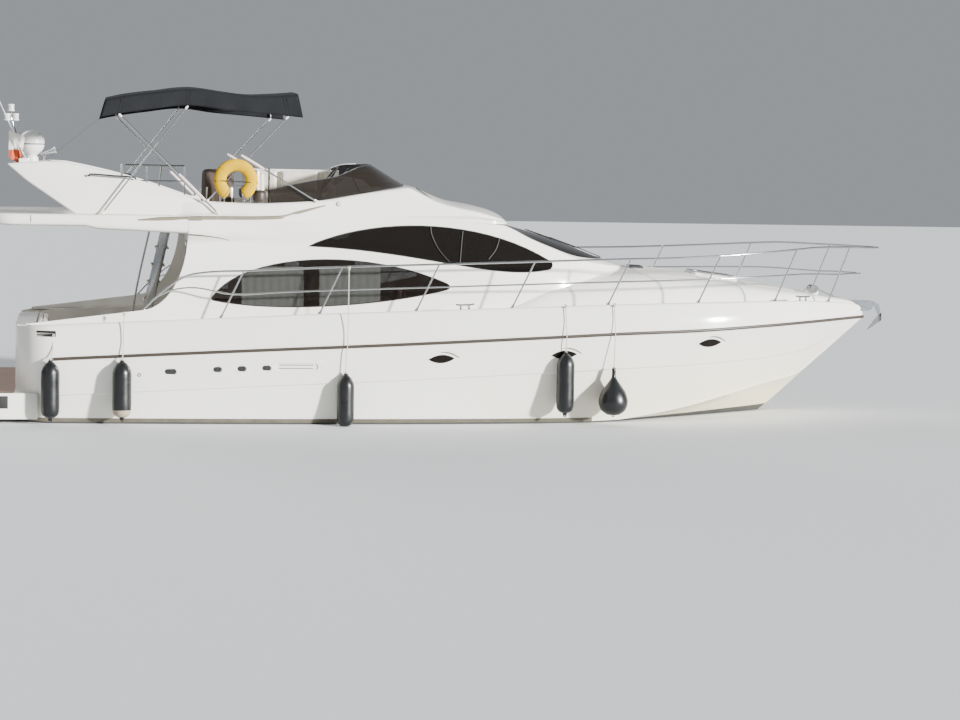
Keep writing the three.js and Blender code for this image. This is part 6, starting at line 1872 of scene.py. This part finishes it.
def fill_cushions():
    """Fills all pads together as cloth under air pressure, then presses in channels and sews on piping."""
    rests = []
    for pad, *_ in PADS:
        grain = pad.modifiers.new("even mesh", "REMESH")
        grain.mode = "VOXEL"
        grain.voxel_size = PAD_VOXEL
        grain.use_smooth_shade = True
        rests.append([v.co.copy() for v in settled(pad).vertices])
    for pad, *_ in PADS:
        air = pad.modifiers.new("air", "CLOTH")
        air.settings.use_pressure = True
        air.settings.uniform_pressure_force = 4
        air.settings.effector_weights.gravity = 0
        air.point_cache.frame_start = 1
        air.point_cache.frame_end = PAD_MOMENTS
    for moment in range(1, PAD_MOMENTS + 1):
        scene.frame_set(moment)
    blown = [settled(pad) for pad, *_ in PADS]
    scene.frame_set(1)
    for mesh, rest in zip(blown, rests):
        for vert, start in zip(mesh.vertices, rest):
            moved = vert.co - start
            vert.co = start + moved * min(1, PAD_CAP / max(moved.length, 1e-9))
    piping = {VINYL: [], BROWN_VINYL: []}
    for pad, edge, high, channels, along in PADS:
        for vert in pad.data.vertices:
            if vert.normal.z < 0.35:
                continue
            for at in channels:
                vert.co.z -= 0.009 * math.exp(-(((vert.co[along] * 1000 - at) / 14) ** 2))
        path = []
        for i, (x, y) in enumerate(edge):
            x2, y2 = edge[(i + 1) % len(edge)]
            count = max(2, round(math.dist((x, y), (x2, y2)) / 60))
            for k in range(count):
                spot = place(x + (x2 - x) * k / count, y + (y2 - y) * k / count, high)
                path.append(pad.closest_point_on_mesh(spot)[1] * 1000)
        piping[pad.data.materials[0]].append(tube(path, 5, 8, closed=True))
        finer = pad.modifiers.new("smooth", "SUBSURF")
        finer.levels = finer.render_levels = 1
    for cloth, cords in piping.items():
        piece(f"{cloth.name}_piping", cords, cloth)


def settled(obj):
    """Gives an object the mesh that its modifiers make of it, and takes them off."""
    bpy.context.view_layer.update()
    mesh = bpy.data.meshes.new_from_object(obj.evaluated_get(bpy.context.evaluated_depsgraph_get()))
    obj.modifiers.clear()
    obj.data = mesh
    return mesh


def build_flybridge_seats():
    """Moulded seat boxes with their cushions, the covered seat, and the settee to port."""
    base = block(-2820, -2285, -1180, -180, ON_FLYBRIDGE, 2885, 24)
    back = block(-2858, -2812, -1180, -180, ON_FLYBRIDGE, 3326, 18)
    step = block(-3200, -2800, -1160, -200, ON_FLYBRIDGE, 2780, 12)
    box = block(-3520, -3160, -1150, -210, ON_FLYBRIDGE, 3100, 20)
    piece("helm_seat_moulding", [base, back, step, box], GELCOAT, stands_for=["fly_seats"], slot="gelcoat")
    for part, y0, y1 in (("outer", -1176, -683), ("inner", -677, -184)):
        cushion(f"helm_seat_{part}", rect(-2770, -2284, y0, y1), 2886, 3010, (-2640, -2520, -2400))
        cushion(f"helm_back_{part}", rect(-2810, -2740, y0, y1), 3014, 3316)
    settee = [(-2880, 1380), (-1760, 1285), (-1500, 1175), (-1320, 960), (-1320, 260), (-1830, 260),
              (-1830, 700), (-2880, 800)]
    line = [(-2876, 1385), (-2357, 1338), (-1768, 1289), (-1506, 1181)]
    back = prism(line + [(x, y + 9) for x, y in reversed(line)], "z", 2860, 3322)
    base = soften(prism(settee, "z", ON_FLYBRIDGE, 2880), 18, 3, 0.5)
    piece("settee_moulding", together(base, back), GELCOAT, stands_for=["fly_settee"], slot="gelcoat")
    cushion("settee_after", [(-2876, 806), (-2360, 757), (-2360, 1225), (-2876, 1276)], 2881, 3000, (-2620,))
    cushion("settee_middle", [(-2354, 756), (-1834, 706), (-1810, 1180), (-2354, 1224)], 2881, 3000, (-2090,))
    fore = [(-1828, 266), (-1326, 266), (-1326, 950), (-1510, 1080), (-1800, 1176), (-1828, 700)]
    cushion("settee_fore", fore, 2881, 3000, (600,), 1)
    cushion("settee_back_after", [(-2876, 1292), (-2360, 1240), (-2360, 1335), (-2876, 1382)], 3002, 3330)
    cushion("settee_back_fore", [(-2354, 1239), (-1792, 1196), (-1762, 1286), (-2354, 1334)], 3002, 3330)
    cushion("settee_back_end", [(-1780, 1192), (-1504, 1092), (-1504, 1176), (-1756, 1282)], 3002, 3330)


def build_seat_cover():
    """Canvas cover tied down over the seat behind the helm, with folds that deepen to its hem."""
    x, y, half_x, half_y = -3340, -680, 216, 496

    def ring(share_x, share_y, z, fold):
        points = []
        for k in range(96):
            a = 2 * math.pi * k / 96
            c, s = math.cos(a), math.sin(a)
            crease = 1 + fold * (math.sin(a * 11) + 0.5 * math.sin(a * 17 + 1)) / half_x
            out = max(abs(c), abs(s)) ** -0.82 * crease
            points.append((x + half_x * share_x * c * out, y + half_y * share_y * s * out, z))
        return points

    levels = (  # shares of the breadths, height, depth of the folds
        (1, 1, 2770, 9),
        (0.99, 0.995, 2850, 7),
        (0.96, 0.98, 2980, 5),
        (0.95, 0.975, 3110, 3),
        (0.94, 0.97, 3230, 2),
        (0.9, 0.95, 3290, 1),
        (0.75, 0.87, 3318, 0),
        (0.4, 0.6, 3326, 0),
        (0.06, 0.1, 3328, 0),
    )
    bm = skin([ring(*level) for level in levels], capped=False)
    bmesh.ops.contextual_create(bm, geom=[e for e in bm.edges if e.is_boundary and e.verts[0].co.z > 3.3])
    cover = piece("seat_cover", bm, TAUPE_CANVAS, slot="canvas", angle=70)
    cloth = cover.modifiers.new("cloth thickness", "SOLIDIFY")
    cloth.thickness = 0.0025
    cloth.offset = -1.0


def build_cockpit():
    """Stern bench across the cockpit."""
    base = block(-5700, -5185, -1250, 690, ON_SOLE, 1005, 16)
    back = block(-5718, -5668, -1250, 690, ON_SOLE, 1282, 14)
    piece("bench_moulding", [base, back], GELCOAT, stands_for=["cockpit_bench"], slot="gelcoat")
    for part, y0, y1 in (("stbd", -1246, -283), ("port", -277, 686)):
        cushion(f"bench_seat_{part}", rect(-5600, -5184, y0, y1), 1006, 1130, (-5490, -5390, -5290))
        cushion(f"bench_back_{part}", rect(-5666, -5592, y0, y1), 1134, 1290)


def build_saloon():
    """Joinery, worktop, dash and settees, as far as they show through the glass."""
    units = (  # x, y, top and edge of each
        (-3298, -902, 702, 1398, 1000, 8),
        (-3298, -2702, 62, 708, 1000, 8),
        (-918, 438, 902, 1398, 970, 8),
        (-3098, -1302, -1398, -852, 1470, 12),
        (-1318, -882, -1378, -902, 1000, 8),
        (-898, -382, -1318, -422, 1180, 10),
        (-956, -900, -1316, -424, 1780, 12),
        (-398, 438, -1318, -1002, 900, 8),
    )
    wood = [block(x0, x1, y0, y1, IN_SALOON, top, edge) for x0, x1, y0, y1, top, edge in units]
    piece("saloon_joinery", wood, CHERRY, stands_for=["saloon_units"], slot="joinery")
    dash = [(420, IN_SALOON), (560, IN_SALOON), (560, 1600), (575, 1620), (575, 1958), (560, 1958),
            (320, 1838), (330, 1700), (420, 1600)]
    piece("saloon_dash", soften(prism(dash, "y", -1300, 1300), 10, 3, 0.5), BLACK)
    piece("galley_top", block(-3100, -1300, -1400, -850, 1471, 1500, 6), SHADE_GREY_AND_WORKTOP)
    for name, outline, z0, z1, channels in (
        ("saloon_seat_after", rect(-3296, -2104, 704, 1286), 1001, 1130, (-2700,)),
        ("saloon_seat_fore", rect(-2096, -904, 704, 1286), 1001, 1130, (-1500,)),
        ("saloon_seat_end", rect(-3296, -2704, 66, 696), 1001, 1130, ()),
        ("saloon_back_after", rect(-3296, -2104, 1296, 1396), 1134, 1480, ()),
        ("saloon_back_fore", rect(-2096, -904, 1296, 1396), 1134, 1480, ()),
        ("saloon_berth", rect(-900, 436, 904, 1396), 971, 1100, (-230,)),
        ("helm_pad", rect(-880, -384, -1314, -426), 1181, 1300, ()),
        ("helm_pad_back", rect(-898, -830, -1314, -426), 1304, 1780, ()),
    ):
        cushion(name, outline, z0, z1, channels, cloth=BROWN_VINYL)


def build_flag():
    """A small flag that hangs limp from the light stand."""
    rings = []
    for share in steps(0, 1, 24):
        ring = []
        for down in steps(0, 1, 20):
            wave = 12 * math.sin(share * 14 + 2 * down) * (0.3 + share)
            x, z = -6118 + 212 * share * (1 - 0.25 * down), 3800 - 90 * share - 370 * down
            ring.append((x, -359 + wave, z))
        rings.append(ring)
    flag = piece("flag", open_skin(rings), FLAG_CLOTH, angle=80)


build_hull()
build_deck()
build_rub_rail()
build_house()
build_flybridge()
build_arch()
build_hull_fittings()
build_deck_fittings()
build_rails()
build_bimini()
build_deflector()
build_helm()
build_stairs()
build_fenders()
build_lifebuoy()
build_stern()
build_openings()
build_house_fittings()
build_flybridge_seats()
build_seat_cover()
build_cockpit()
build_saloon()
build_flag()
fill_cushions()

# Nodes whose solids have the right shape
for node, material, slot_name, edge in (
    ("sole", TEAK, "teak", 0),
    ("engine_stbd", IRON, "engine_iron", 12),
    ("engine_port", IRON, "engine_iron", 12),
    ("shaft_bracket_stbd", BRONZE, "bronze", 0),
    ("shaft_bracket_port", BRONZE, "bronze", 0),
    ("propeller_stbd", BRONZE, "bronze", 0),
    ("propeller_port", BRONZE, "bronze", 0),
    ("rudder_stbd", BRONZE, "bronze", 4),
    ("rudder_port", BRONZE, "bronze", 4),
    ("anchor", GALVANISED, "galvanised", 3),
):
    dressed(node, material, slot_name, edge)


# Plain floor at the waterline and soft studio light: strength, angle and direction of each lamp
LAMPS = (
    ("key", 12.0, 0.07, (-0.72, 0.62, -0.2)),
    ("fill", 0.3, 0.8, (0.6, 0.5, -0.5)),
    ("port_fill", 1.8, 0.6, (0.4, -0.8, -0.45)),
)


def build_studio():
    floor = bmesh.new()
    bmesh.ops.create_grid(floor, x_segments=1, y_segments=1, size=90)
    mesh = bpy.data.meshes.new("floor")
    floor.to_mesh(mesh)
    floor.free()
    mesh.materials.append(surface("floor_paint", "DADCDD", Roughness=0.95, Specular_IOR_Level=0.1)[0])
    obj = bpy.data.objects.new("floor", mesh)
    scene.collection.objects.link(obj)
    world = bpy.data.worlds.new("studio")
    world.use_nodes = True
    feed(world.node_tree.nodes["Background"], {"Color": linear("E4EAF0"), "Strength": 0.42})
    scene.world = world
    for name, energy, angle, towards in LAMPS:
        light = bpy.data.lights.new(name, "SUN")
        light.energy = energy
        light.angle = angle
        lamp = bpy.data.objects.new(name, light)
        lamp.rotation_euler = Vector(towards).to_track_quat("-Z", "Y").to_euler()
        scene.collection.objects.link(lamp)


build_studio()
